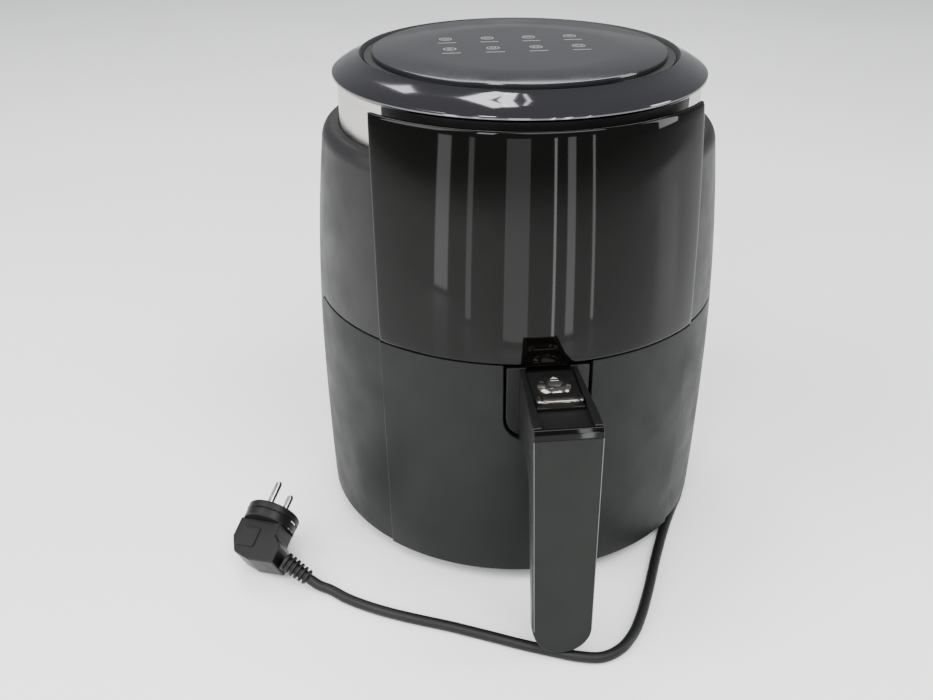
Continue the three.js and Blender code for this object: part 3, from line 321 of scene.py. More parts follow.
# ---------------------------------------------------------------- mesh helpers
def closed_face(bm, corners, segments=10):
    """One face in the XY plane from corners (x, y, radius), each corner rounded by its radius."""
    verts = [bm.verts.new((x, y, 0)) for x, y, _ in corners]
    bm.faces.new(verts)
    for i, (x, y, radius) in enumerate(corners):
        if radius <= 0:
            continue
        here = Vector((x, y))
        back = (Vector(corners[i - 1][:2]) - here).normalized()
        on = (Vector(corners[(i + 1) % len(corners)][:2]) - here).normalized()
        offset = radius / math.tan(back.angle(on) / 2)
        bmesh.ops.bevel(bm, geom=[verts[i]], offset=offset, offset_type="OFFSET", segments=segments,
                        profile=0.5, affect="VERTICES", material=-1, clamp_overlap=False)
    return bm.faces[:]


def slice_at(bm, axis, values):
    """Cuts the whole mesh with a plane at each value along an axis."""
    normal = Vector([float(i == axis) for i in range(3)])
    for value in values:
        everything = bm.verts[:] + bm.edges[:] + bm.faces[:]
        bmesh.ops.bisect_plane(bm, geom=everything, plane_co=normal * value, plane_no=normal, dist=1e-4)


def steps(first, last, step):
    """Evenly spaced values strictly between first and last, about a step apart."""
    count = max(1, round((last - first) / step))
    return [first + (last - first) * i / count for i in range(1, count)]


def thicken(bm, outer, inner):
    """Turns a flat sheet into a closed plate: both maps take a flat point to its place on the piece."""
    sheet = bm.faces[:]
    made = bmesh.ops.extrude_face_region(bm, geom=sheet, use_keep_orig=True)["geom"]
    back = {v for v in made if isinstance(v, bmesh.types.BMVert)}
    for v in bm.verts:
        v.co = inner(v.co) if v in back else outer(v.co)
    bmesh.ops.recalc_face_normals(bm, faces=bm.faces)


def spun(bm, profile, sides=192, closed=False, start=0.0, arc=2 * math.pi):
    """Turns a profile of (radius, z) points about the Z axis. A closed profile joins its ends."""
    verts = [bm.verts.new((r, 0, z)) for r, z in profile]
    ends = verts[1:] + verts[:1] if closed else verts[1:]
    edges = [bm.edges.new((a, b)) for a, b in zip(verts, ends)]
    whole = arc == 2 * math.pi
    bmesh.ops.rotate(bm, verts=verts, cent=(0, 0, 0), matrix=Matrix.Rotation(start, 3, "Z"))
    bmesh.ops.spin(bm, geom=verts + edges, cent=(0, 0, 0), axis=(0, 0, 1), angle=arc, steps=sides,
                   use_merge=whole)
    bmesh.ops.remove_doubles(bm, verts=bm.verts, dist=1e-4)
    if not whole:
        bmesh.ops.holes_fill(bm, edges=[e for e in bm.edges if e.is_boundary])
    bmesh.ops.recalc_face_normals(bm, faces=bm.faces)


def prism(bm, corners, low, high, segments=8):
    """Extrudes a rounded outline along Z."""
    faces = closed_face(bm, corners, segments)
    bmesh.ops.translate(bm, verts=bm.verts, vec=(0, 0, low))
    made = bmesh.ops.extrude_face_region(bm, geom=faces, use_keep_orig=True)["geom"]
    top = [v for v in made if isinstance(v, bmesh.types.BMVert)]
    bmesh.ops.translate(bm, verts=top, vec=(0, 0, high - low))
    bmesh.ops.recalc_face_normals(bm, faces=bm.faces)


def add_to(bm, shape):
    """Adds a finished bmesh to another and frees it."""
    mesh = bpy.data.meshes.new("part")
    shape.to_mesh(mesh)
    shape.free()
    bm.from_mesh(mesh)
    bpy.data.meshes.remove(mesh)


SIDEWAYS = Matrix(((0, 0, 1), (1, 0, 0), (0, 1, 0))).to_4x4()      # outline x, y to the fryer's y, z
FRONTWAYS = Matrix(((1, 0, 0), (0, 0, -1), (0, 1, 0))).to_4x4()    # outline x, y to the fryer's x, z
ON_AXIS = Matrix.Translation((0, AXIS_Y, 0))
TO_METRES = Matrix.Scale(MM, 4)


def piece(name, bm, body, material, replaced=(), bevel=0.0, segments=3, place=ON_AXIS, sharp=32, angle=34):
    """Makes a piece from a mesh in millimetres about the body's axis, and puts it on its CAD body."""
    bmesh.ops.transform(bm, matrix=TO_METRES @ place, verts=bm.verts)
    mesh = bpy.data.meshes.new(name)
    bm.to_mesh(mesh)
    bm.free()
    mesh.shade_smooth()
    mesh.set_sharp_from_angle(angle=math.radians(sharp))
    made = bpy.data.objects.new(name, mesh)
    bpy.context.scene.collection.objects.link(made)
    mesh.materials.append(finishes()[material])
    if bevel:
        rounding = made.modifiers.new("Rounded edges", "BEVEL")
        rounding.width = bevel
        rounding.segments = segments
        rounding.limit_method = "ANGLE"
        rounding.angle_limit = math.radians(angle)
        rounding.use_clamp_overlap = False
        weighted = made.modifiers.new("Weighted normals", "WEIGHTED_NORMAL")
        weighted.keep_sharp = False
    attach(made, body)
    if replaced:
        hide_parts(*replaced)
    return made


def softened(node, body, material, bevel, segments=2, angle=35, name=None, sharp=35):
    """A copy of a CAD node with its facets merged and its edges rounded."""
    source = frame["nodes"][node]
    bm = bmesh.new()
    bm.from_mesh(source.data)
    bmesh.ops.remove_doubles(bm, verts=bm.verts, dist=2e-6)
    bmesh.ops.dissolve_limit(bm, angle_limit=math.radians(1), verts=bm.verts, edges=bm.edges)
    return piece(name or node + "_piece", bm, body, material, (node,), bevel, segments,
                 Matrix.Scale(1 / MM, 4), sharp, angle)


def body_radius(z):
    """Radius of the barrel-shaped body at a height."""
    above = z > BELLY_Z
    end = SHOULDER_R if above else TABLE_R
    reach = SHOULDER_Z - BELLY_Z if above else BELLY_Z
    return BELLY_R - (BELLY_R - end) * ((z - BELLY_Z) / reach) ** 2


def on_body(flat, radius, height):
    """A point at a flat sheet's x, measured round the belly, on a circle at a height."""
    angle = flat.x / BELLY_R
    return Vector((radius * math.sin(angle), -radius * math.cos(angle), height))


def flat_x(x, z):
    """The flat sheet's x of a point x to the side of the centre line, at a height."""
    return BELLY_R * math.asin(x / body_radius(z))


# ---------------------------------------------------------------- operators
class Maker:
    """What every operator of this add-on shares."""

    bl_options = {"REGISTER"}

    def execute(self, context):
        self.make(context.scene.fryer_sizes)
        return {"FINISHED"}


class FRYER_OT_stage(Maker, bpy.types.Operator):
    """Floor, lights and camera"""

    bl_idname = "fryer.stage"
    bl_label = "Stage"

    def make(self, sizes):
        camera = bpy.data.objects.new("camera", bpy.data.cameras.new("camera"))
        bpy.context.scene.collection.objects.link(camera)
        camera.data.lens = CAMERA_LENS
        camera.data.sensor_width = 36
        turn = (Matrix.Rotation(math.radians(-CAMERA_HEADING), 4, "Z")
                @ Matrix.Rotation(math.radians(90 - CAMERA_PITCH), 4, "X")
                @ Matrix.Rotation(math.radians(CAMERA_ROLL), 4, "Z"))
        camera.matrix_world = Matrix.Translation(CAMERA_AT) @ turn
        bpy.context.scene.camera = camera
        self.floor()
        self.world()
        self.lamp("window", (-1.5, -0.5, 1.5), (0, 0, 0.15), 1.5, 1.7, 62)
        self.lamp("overhead", (0.5, -1.3, 2.2), (0, 0, 0.2), 1.8, 1.4, 70)
        self.lamp("rear_sky", (0.1, 1.7, 2.1), (0, 0.2, 0.1), 2.2, 0.8, 34)
        self.lamp("ring_window", (-0.27, 0.75, 2), (0, 0, 0.3), 0.17, 1, 4.6)
        self.lamp("ring_pane", (-0.02, 0.78, 2), (0, 0, 0.3), 0.12, 1, 3.4)
        self.lamp("ring_sliver", (0.26, 0.8, 2), (0, 0, 0.3), 0.03, 1, 0.6)
        self.lamp("front_window", (-0.75, -1.5, 1.15), (0, 0, 0.25), 0.3, 0.8, 13)
        self.lamp("side_card", (1.7, -0.3, 0.8), (0, 0, 0.2), 0.5, 1.3, 16)
        for i, (x, width, power) in enumerate(LOW_STRIPS):
            self.lamp(f"low_strip_{i + 1}", (x, -0.52, 0.17), (x * 0.4, 0, 0.17), width, 0.32, power)

    def floor(self):
        bm = bmesh.new()
        bmesh.ops.create_grid(bm, x_segments=1, y_segments=1, size=6)
        mesh = bpy.data.meshes.new("floor")
        bm.to_mesh(mesh)
        bm.free()
        floor = bpy.data.objects.new("floor", mesh)
        bpy.context.scene.collection.objects.link(floor)
        material = finish("floor", bpy.context.scene.fryer_colours.floor, 0.35)
        vary_roughness(material, noise(material, 3, 4), 0.3, 0.42)
        mesh.materials.append(material)

    def world(self):
        world = bpy.data.worlds.new("studio")
        world.use_nodes = True
        world.node_tree.nodes["Background"].inputs["Color"].default_value = (0.9, 0.92, 0.95, 1)
        world.node_tree.nodes["Background"].inputs["Strength"].default_value = 0.45
        bpy.context.scene.world = world

    def lamp(self, name, at, towards, width, height, power):
        lamp = bpy.data.lights.new(name, "AREA")
        lamp.shape = "RECTANGLE"
        lamp.size = width
        lamp.size_y = height
        lamp.energy = power
        made = bpy.data.objects.new(name, lamp)
        bpy.context.scene.collection.objects.link(made)
        made.location = at
        made.rotation_euler = (Vector(towards) - Vector(at)).to_track_quat("-Z", "Y").to_euler()


class FRYER_OT_cord(Maker, bpy.types.Operator):
    """Mains cord, its gland and its plug"""

    bl_idname = "fryer.cord"
    bl_label = "Cord and plug"

    def make(self, sizes):
        plug = self.plug()
        gland = self.gland()
        route = self.smooth_route()
        curve = bpy.data.curves.new("power_cord_piece", "CURVE")
        curve.dimensions = "3D"
        curve.bevel_depth = CORD_R * MM
        curve.bevel_resolution = 5
        line = curve.splines.new("POLY")
        line.points.add(len(route) - 1)
        for point, at in zip(line.points, route):
            point.co = (*(at * MM), 1)
        line.use_smooth = True
        cord = bpy.data.objects.new("power_cord_piece", curve)
        bpy.context.scene.collection.objects.link(cord)
        curve.materials.append(finishes()["rubber"])
        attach(cord, "housing")
        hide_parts("power_cord")

    def smooth_route(self, cuts=8):
        """The cord's route as a centripetal Catmull-Rom curve, in the row frame."""
        points = [Vector(p) + Vector((0, AXIS_Y, 0)) for p in CORD_ROUTE]
        points = [2 * points[0] - points[1], *points, 2 * points[-1] - points[-2]]
        route = []
        for a, b, c, d in zip(points, points[1:], points[2:], points[3:]):
            t1 = (b - a).length ** 0.5
            t2 = t1 + (c - b).length ** 0.5
            t3 = t2 + (d - c).length ** 0.5
            for i in range(cuts):
                t = t1 + (t2 - t1) * i / cuts
                ab = a.lerp(b, t / t1)
                bc = b.lerp(c, (t - t1) / (t2 - t1))
                cd = c.lerp(d, (t - t2) / (t3 - t2))
                abc = ab.lerp(bc, t / t2)
                bcd = bc.lerp(cd, (t - t1) / (t3 - t1))
                route.append(abc.lerp(bcd, (t - t1) / (t2 - t1)))
        return [*route, points[-2]]

    def gland(self):
        skin = math.sqrt(body_radius(GLAND_Z) ** 2 - GLAND_X ** 2)
        bm = bmesh.new()
        spun(bm, [(0, skin - 2), (6.9, skin - 2), (6.9, skin + 3.4), (10, skin + 3.4), (10, skin + 5),
                  (7, skin + 5.6), (6.2, skin + 7), (5.9, skin + 10), (6.3, skin + 10.4),
                  (6.1, skin + 13), (5.6, skin + 13.4), (5.4, skin + 16), (5.7, skin + 16.4),
                  (5.5, skin + 19), (5, skin + 19.4), (4.7, 158), (0, 158)], 48)
        turn = Matrix.Translation((GLAND_X, 0, GLAND_Z)) @ Matrix.Rotation(-math.pi / 2, 4, "X")
        bmesh.ops.transform(bm, matrix=turn, verts=bm.verts)
        return piece("cord_gland_piece", bm, "housing", "rubber", ("cord_gland",), 0.0003, 2)

    def plug(self):
        """Angled two-pin plug. In its own frame +Z runs along the pins and +X along the cord."""
        place = (Matrix.Translation(Vector(PLUG_AT) + Vector((0, AXIS_Y, 0)))
                 @ Matrix.Rotation(math.radians(-PLUG_HEADING), 4, "Z")
                 @ Matrix.Rotation(math.radians(PLUG_TILT - 90), 4, "X")
                 @ Matrix.Rotation(math.radians(PLUG_ROLL), 4, "Z"))
        return [*self.plug_body(place), self.plug_puck(place), self.relief(place), *self.pins(place)]

    def plug_body(self, place):
        side = [(-17.3, -11.2, 0), (-17.3, -26, 3), (-11, -37, 3), (2, -41, 4), (NECK[0], NECK[1] - 6.6, 1.2),
                (NECK[0], NECK[1] + 6.6, 1.2), (15.3, -21, 3), (15.3, -11.2, 0)]
        bm = bmesh.new()
        prism(bm, side, -PLUG_HALF_WIDTH, PLUG_HALF_WIDTH, 5)
        pads = bmesh.new()
        for way in (-1, 1):
            pad = bmesh.new()
            prism(pad, [(-12, -32, 1.2), (2.5, -32, 1.2), (2.5, -18, 1.2), (-12, -18, 1.2)],
                  *sorted((way * (PLUG_HALF_WIDTH - 1), way * (PLUG_HALF_WIDTH + 0.9))), 3)
            add_to(pads, pad)
        for shape in (bm, pads):
            bmesh.ops.transform(shape, matrix=FRONTWAYS, verts=shape.verts)
        return [piece("plug_body_piece", bm, "housing", "black_plastic", (), 0.0009, 3, place),
                piece("plug_pads_piece", pads, "housing", "rubber", (), 0.0004, 3, place)]

    def plug_puck(self, place):
        bm = bmesh.new()
        rim = [(0.9, -11.6), (0.3, -11), (0.3, -6.4), (0.9, -6), (0.9, -5.5), (0, -5.1), (0, -1), (0.8, 0),
               (2.4, 0), (2.8, -0.5)]
        spun(bm, [(0, -11.6), *[(FACE_R - inset, z) for inset, z in rim], (0, -0.5)], 64)
        return piece("plug_face_piece", bm, "housing", "black_plastic", ("plug_body",), 0, 2, place)

    def relief(self, place):
        profile = [(0, -1), (6.4, -1), (6.4, 1.2)]
        for i in range(5):
            z = 1.6 + i * 3.4
            outer = 6.4 - 0.22 * i
            profile += [(outer - 1.9, z), (outer - 1.9, z + 1.3), (outer, z + 1.6), (outer - 0.1, z + 3.1)]
        profile += [(4.6, RELIEF_LENGTH - 0.4), (4.4, RELIEF_LENGTH), (0, RELIEF_LENGTH)]
        bm = bmesh.new()
        spun(bm, profile, 40)
        lean = (Matrix.Translation((RELIEF_START, 0, NECK[1]))
                @ Matrix.Rotation(math.radians(NECK_DOWN), 4, "Z")
                @ Matrix.Rotation(math.radians(90 + NECK_BACK), 4, "Y"))
        bmesh.ops.transform(bm, matrix=lean, verts=bm.verts)
        return piece("plug_relief_piece", bm, "housing", "rubber", ("plug_strain_relief",), 0.00025, 2,
                     place)

    def pins(self, place):
        made = []
        for i, way in enumerate((-1, 1)):
            bm = bmesh.new()
            spun(bm, [(0, -2), (PIN_R, -2), (PIN_R, 17), (PIN_R - 0.4, 18.2), (1.3, 19), (0, 19)], 32)
            bmesh.ops.translate(bm, verts=bm.verts, vec=(0, way * PIN_SPACING / 2, 0))
            pin = f"plug_pin_{i + 1}"
            made.append(piece(pin + "_piece", bm, "housing", "bright_steel", (pin,), 0.0002, 2, place))
            made.append(frame["nodes"][f"earth_clip_{i + 1}"])
        return made


class FRYER_OT_shell(Maker, bpy.types.Operator):
    """Outer shell with its feet and rear outlet"""

    bl_idname = "fryer.shell"
    bl_label = "Outer shell"

    def make(self, sizes):
        self.wall()
        softened("air_outlet", "housing", "black_plastic", 0.0006)
        for node in frame["nodes"]:
            if node.startswith("foot_"):
                self.foot(node)

    def path(self, w):
        """Radius and height of the shell at a length w up its wall, over the fold and along the ledge."""
        fold_z = SHOULDER_Z - FILLET_R
        reach = body_radius(fold_z) - LEDGE_R
        fold = FILLET_R * math.pi / 2
        if w <= fold_z:
            return body_radius(w), w
        if w <= fold_z + fold:
            turn = (w - fold_z) / FILLET_R
            return LEDGE_R + reach * math.cos(turn), fold_z + FILLET_R * math.sin(turn)
        return LEDGE_R - (w - fold_z - fold), SHOULDER_Z

    def wall(self):
        half = math.pi * BELLY_R
        wing = BELLY_R * math.radians(WING_ANGLE) + SEAM
        top = DRAWER_TOP_Z + SEAM
        end = SHOULDER_Z - FILLET_R + FILLET_R * math.pi / 2 + LEDGE_R - LIP_R
        bm = bmesh.new()
        closed_face(bm, [
            (-half, SHELL_LOW_Z, 0), (-wing, SHELL_LOW_Z, 0), (-wing, top, WING_CORNER + SEAM),
            (wing, top, WING_CORNER + SEAM), (wing, SHELL_LOW_Z, 0), (half, SHELL_LOW_Z, 0),
            (half, end, 0), (-half, end, 0),
        ], 12)
        fold = SHOULDER_Z - FILLET_R
        slice_at(bm, 1, [*steps(SHELL_LOW_Z, OUTLET_LOW_Z, 12), OUTLET_LOW_Z,
                         *steps(OUTLET_LOW_Z, OUTLET_HIGH_Z, 11), OUTLET_HIGH_Z,
                         *steps(OUTLET_HIGH_Z, fold, 9), fold, *steps(fold, end, 1.6)])
        hole = BELLY_R * math.asin(OUTLET_HALF / BELLY_R)
        slice_at(bm, 0, [*steps(-half, half, 3.6), half - hole, hole - half])
        vent = [f for f in bm.faces if abs(f.calc_center_median().x) > half - hole
                and OUTLET_LOW_Z < f.calc_center_median().y < OUTLET_HIGH_Z]
        bmesh.ops.delete(bm, geom=vent, context="FACES")
        bmesh.ops.remove_doubles(bm, verts=bm.verts, dist=0.25)

        def outer(flat):
            return on_body(flat, *self.path(flat.y))

        def inner(flat):
            low, high = Vector(self.path(flat.y - 0.5)), Vector(self.path(flat.y + 0.5))
            along = (high - low).normalized()
            r, z = self.path(flat.y)
            return on_body(flat, r - SHELL_WALL * along.y, z + SHELL_WALL * along.x)

        thicken(bm, outer, inner)
        seam = [f for f in bm.faces if all(abs(v.co.x) < 0.01 and v.co.y > 0 for v in f.verts)
                and abs(f.normal.x) > 0.9]
        bmesh.ops.delete(bm, geom=seam, context="FACES")
        bmesh.ops.remove_doubles(bm, verts=bm.verts, dist=0.05)
        bmesh.ops.recalc_face_normals(bm, faces=bm.faces)
        piece("outer_shell_piece", bm, "housing", "charcoal_shell", ("outer_shell",), 0.0006, 2,
              sharp=40, angle=50)

    def foot(self, node):
        low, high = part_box(node)
        middle = (low + high) / 2 / MM
        top = high.z / MM
        bm = bmesh.new()
        spun(bm, [(0, 0), (7.8, 0), (8.6, 0.2), (9.8, 1.3), (10.4, 3.2), (11, top - 1), (11, top),
                  (0, top)], 48)
        place = Matrix.Translation((middle.x, middle.y, 0))
        piece(node + "_piece", bm, "housing", "rubber", (node,), 0.0002, 2, place)


class FRYER_OT_top(Maker, bpy.types.Operator):
    """Top ring, steel band, groove and touch panel"""

    bl_idname = "fryer.top"
    bl_label = "Top"

    def make(self, sizes):
        low = RING_LOW.z / MM
        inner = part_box("groove_seal")[1].x / MM + 0.3
        wide = RING_HIGH.x / MM
        bm = bmesh.new()
        rim = [(wide - 1.5 + 1.5 * math.sin(math.radians(a)), low + 2.6 - 2.2 * math.cos(math.radians(a)))
               for a in range(20, 121, 10)]
        spun(bm, [(inner + 2.4, low), (wide - 2.2, low), *rim, (wide - 2.4, low + 5.6), (111, TOP_Z - 5.4),
                  (106, TOP_Z - 3), (inner + 2.9, TOP_Z - 1.2), (inner + 2.4, TOP_Z - 1.3),
                  (inner, TOP_Z - 4.2),
                  (inner, TOUCH_Z - 3), (inner + 2.4, TOUCH_Z - 5)], 256, True)
        piece("top_ring_piece", bm, "housing", "gunmetal_plating", ("top_ring",), 0, sharp=24)
        lip = bmesh.new()
        spun(lip, [(inner - 0.1, TOP_Z - 4.4), (inner + 2.35, TOP_Z - 1.4), (inner + 2.35, TOP_Z - 1.2),
                   (inner + 2.1, TOP_Z - 1.3), (inner - 0.2, TOP_Z - 4)], 192, True)
        piece("ring_lip_piece", lip, "housing", "rubber")
        self.band()
        self.touch()
        self.icons(sizes)

    def band(self):
        low, high = (v.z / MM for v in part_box("collar_band"))
        profile = [(COLLAR_R - 1.2, low), (COLLAR_R, low), (COLLAR_R, high), (COLLAR_R - 1.2, high)]
        half = math.asin((PANEL_TOP_HALF - 1.5) / body_radius(PANEL_TOP_Z))
        bm = bmesh.new()
        spun(bm, profile, 160, True, half - math.pi / 2, 2 * (math.pi - half))
        piece("collar_band_piece", bm, "housing", "brushed_band", ("collar_band",))
        # the band's stretch behind the gloss panel is made as a black sheet: painted shade where the panel
        # shadows the steel band
        bm = bmesh.new()
        spun(bm, profile, 48, True, -half - math.pi / 2, 2 * half)
        piece("collar_painted_shade_piece", bm, "housing", "black_plastic")

    def touch(self):
        bm = bmesh.new()
        spun(bm, [(0, TOUCH_Z), (TOUCH_R, TOUCH_Z), (TOUCH_R, TOP_Z - 0.7), (TOUCH_R - 0.25, TOP_Z - 0.25),
                  (TOUCH_R - 0.8, TOP_Z), (60, TOP_Z), (20, TOP_Z), (0, TOP_Z)], 256)
        piece("touch_panel_piece", bm, "housing", "touch_glass", ("touch_panel",), 0, sharp=30)
        groove_low, groove_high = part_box("groove_seal")
        outer = groove_high.x / MM
        base = groove_low.z / MM
        bm = bmesh.new()
        spun(bm, [(93.9, base), (outer, base), (outer, TOP_Z - 3.2), (TOUCH_R + 0.3, TOP_Z - 3.2),
                  (TOUCH_R + 0.3, TOUCH_Z - 0.3), (93.9, TOUCH_Z - 0.3)], 192, True)
        piece("groove_seal_piece", bm, "housing", "black_plastic", ("groove_seal",))

    def icons(self, sizes):
        """Generic printed marks: eight small pictures, each over a short line."""
        stroke = sizes.icon_stroke / MM
        bm = bmesh.new()
        for row, y in enumerate((29, -1)):
            for column in range(4):
                x = -45 + column * COLUMN_GAP
                self.hoop(bm, x, y, 4.2, stroke)
                if row == 0:
                    self.bar(bm, x - 2.2, x + 2.2, y - 1.6 + column * 0.8, stroke)
                    self.bar(bm, x - 2.2, x + 2.2, y + 1.6 - column * 0.5, stroke)
                else:
                    self.hoop(bm, x, y, 1.6 + column * 0.3, stroke)
                self.bar(bm, x - 6, x + 6, y - 12, stroke * 1.6)
        piece("touch_icons", bm, "housing", "print", place=ON_AXIS)

    def bar(self, bm, x0, x1, y, height):
        shape = bmesh.new()
        prism(shape, [(x0, y, 0), (x1, y, 0), (x1, y + height, 0), (x0, y + height, 0)],
              TOP_Z - PRINT_THICK, TOP_Z + PRINT_THICK)
        add_to(bm, shape)

    def hoop(self, bm, x, y, radius, width):
        shape = bmesh.new()
        low, high = TOP_Z - PRINT_THICK, TOP_Z + PRINT_THICK
        spun(shape, [(radius - width, low), (radius, low), (radius, high), (radius - width, high)], 32, True)
        bmesh.ops.translate(shape, verts=shape.verts, vec=(x, y, 0))
        add_to(bm, shape)


class FRYER_OT_panel(Maker, bpy.types.Operator):
    """Gloss front panel"""

    bl_idname = "fryer.panel"
    bl_label = "Front panel"

    def make(self, sizes):
        low, edge = DRAWER_TOP_Z + SEAM, PANEL_EDGE
        sides = [x for d in (0.2, 0.6, 1.2, edge) for x in (d - PANEL_TOP_HALF, PANEL_TOP_HALF - d)]
        ends = [z for d in (0.2, 0.6, 1.2, edge) for z in (low + d, PANEL_TOP_Z - d)]
        bm = bmesh.new()
        bmesh.ops.create_grid(bm, x_segments=1, y_segments=1, size=0.5)
        for v in bm.verts:
            v.co = Vector((2 * v.co.x * PANEL_TOP_HALF, PANEL_TOP_Z if v.co.y > 0 else low, 0))
        slice_at(bm, 1, [*ends, *steps(low + edge, PANEL_TOP_Z - edge, 5)])
        slice_at(bm, 0, [*sides, *steps(edge - PANEL_TOP_HALF, PANEL_TOP_HALF - edge, 2.2)])
        thicken(bm, lambda flat: self.spot(flat, PANEL_PROUD - self.fall(flat, sizes)),
                lambda flat: self.spot(flat, self.back(flat.y)))
        piece("front_panel_piece", bm, "housing", "piano_black", ("front_panel",), sharp=50)

    def fall(self, flat, sizes):
        """How far the face falls back at the panel's rounded edge, by the distance to its outline."""
        low, corner = DRAWER_TOP_Z + SEAM, 3
        across = abs(flat.x) - (PANEL_TOP_HALF - corner)
        up = abs(flat.y - (low + PANEL_TOP_Z) / 2) - ((PANEL_TOP_Z - low) / 2 - corner)
        inside = corner - math.hypot(max(across, 0), max(up, 0)) - min(max(across, up), 0)
        share = min(1, max(0, 1 - inside / PANEL_EDGE))
        return sizes.panel_bevel / MM * (1 - math.sqrt(1 - share ** 2))

    def spot(self, flat, proud):
        """A flat point's place on the panel, whose sides lean a little."""
        low = DRAWER_TOP_Z + SEAM
        share = (flat.y - low) / (PANEL_TOP_Z - low)
        half = PANEL_BOTTOM_HALF + (PANEL_TOP_HALF - PANEL_BOTTOM_HALF) * share
        radius = body_radius(flat.y)
        turn = math.asin(half / radius) * flat.x / PANEL_TOP_HALF
        return Vector(((radius + proud) * math.sin(turn), -(radius + proud) * math.cos(turn), flat.y))

    def back(self, z):
        """Offset of the panel's back from the body: it thickens above the shell's shoulder."""
        return 0.3 if z < SHOULDER_Z + 1 else -1.2


class FRYER_OT_drawer(Maker, bpy.types.Operator):
    """Drawer front with its raised centre band"""

    bl_idname = "fryer.drawer"
    bl_label = "Drawer front"

    def make(self, sizes):
        wing = BELLY_R * math.radians(WING_ANGLE)
        low, high = DRAWER_LOW_Z, DRAWER_TOP_Z
        edge = flat_x(PANEL_BOTTOM_HALF, high)
        outside = edge + BAND_RAMP
        notch = edge * math.asin(NOTCH_HALF / body_radius(NOTCH_BOTTOM_Z)) / self.band_angle(NOTCH_BOTTOM_Z)
        bm = bmesh.new()
        closed_face(bm, [
            (-wing, low, 0.8), (wing, low, 0.8), (wing, high, WING_CORNER), (notch, high, 0.8),
            (notch, NOTCH_BOTTOM_Z, NOTCH_CORNER), (-notch, NOTCH_BOTTOM_Z, NOTCH_CORNER),
            (-notch, high, 0.8), (-wing, high, WING_CORNER),
        ], 10)
        slice_at(bm, 1, steps(low, high, 7))
        slice_at(bm, 0, [*steps(-wing, -outside, 3.4), -outside, -edge, *steps(-edge, edge, 3.4),
                         edge, outside, *steps(outside, wing, 3.4)])
        bmesh.ops.remove_doubles(bm, verts=bm.verts, dist=0.22)
        thicken(bm, self.outer, lambda flat: self.spot(flat, -DRAWER_WALL))
        piece("drawer_front_piece", bm, "drawer", "drawer_grey", ("drawer_front",), sizes.drawer_bevel, 3,
              sharp=28, angle=50)

    def band_angle(self, z):
        """Angle from the front to the raised band's edge at a height."""
        share = (z - DRAWER_LOW_Z) / (DRAWER_TOP_Z - DRAWER_LOW_Z)
        return math.asin((BAND_BOTTOM_HALF + (PANEL_BOTTOM_HALF - BAND_BOTTOM_HALF) * share) / body_radius(z))

    def spot(self, flat, proud):
        """A flat point's place on the drawer front: the band's edges are straight lines on the flat sheet."""
        edge = flat_x(PANEL_BOTTOM_HALF, DRAWER_TOP_Z)
        wing = BELLY_R * math.radians(WING_ANGLE)
        outside = edge + BAND_RAMP
        band, across = self.band_angle(flat.y), abs(flat.x)
        ramp = band + min(max(across - edge, 0), BAND_RAMP) / BELLY_R
        if across <= edge:
            turn = band * across / edge
        elif across <= outside:
            turn = ramp
        else:
            turn = ramp + (math.radians(WING_ANGLE) - ramp) * (across - edge - BAND_RAMP) / (wing - outside)
        turn = math.copysign(turn, flat.x)
        radius = body_radius(flat.y) + proud
        return Vector((radius * math.sin(turn), -radius * math.cos(turn), flat.y))

    def outer(self, flat):
        edge = flat_x(PANEL_BOTTOM_HALF, DRAWER_TOP_Z)
        return self.spot(flat, BAND_PROUD if abs(flat.x) < edge + BAND_RAMP / 2 else 0)


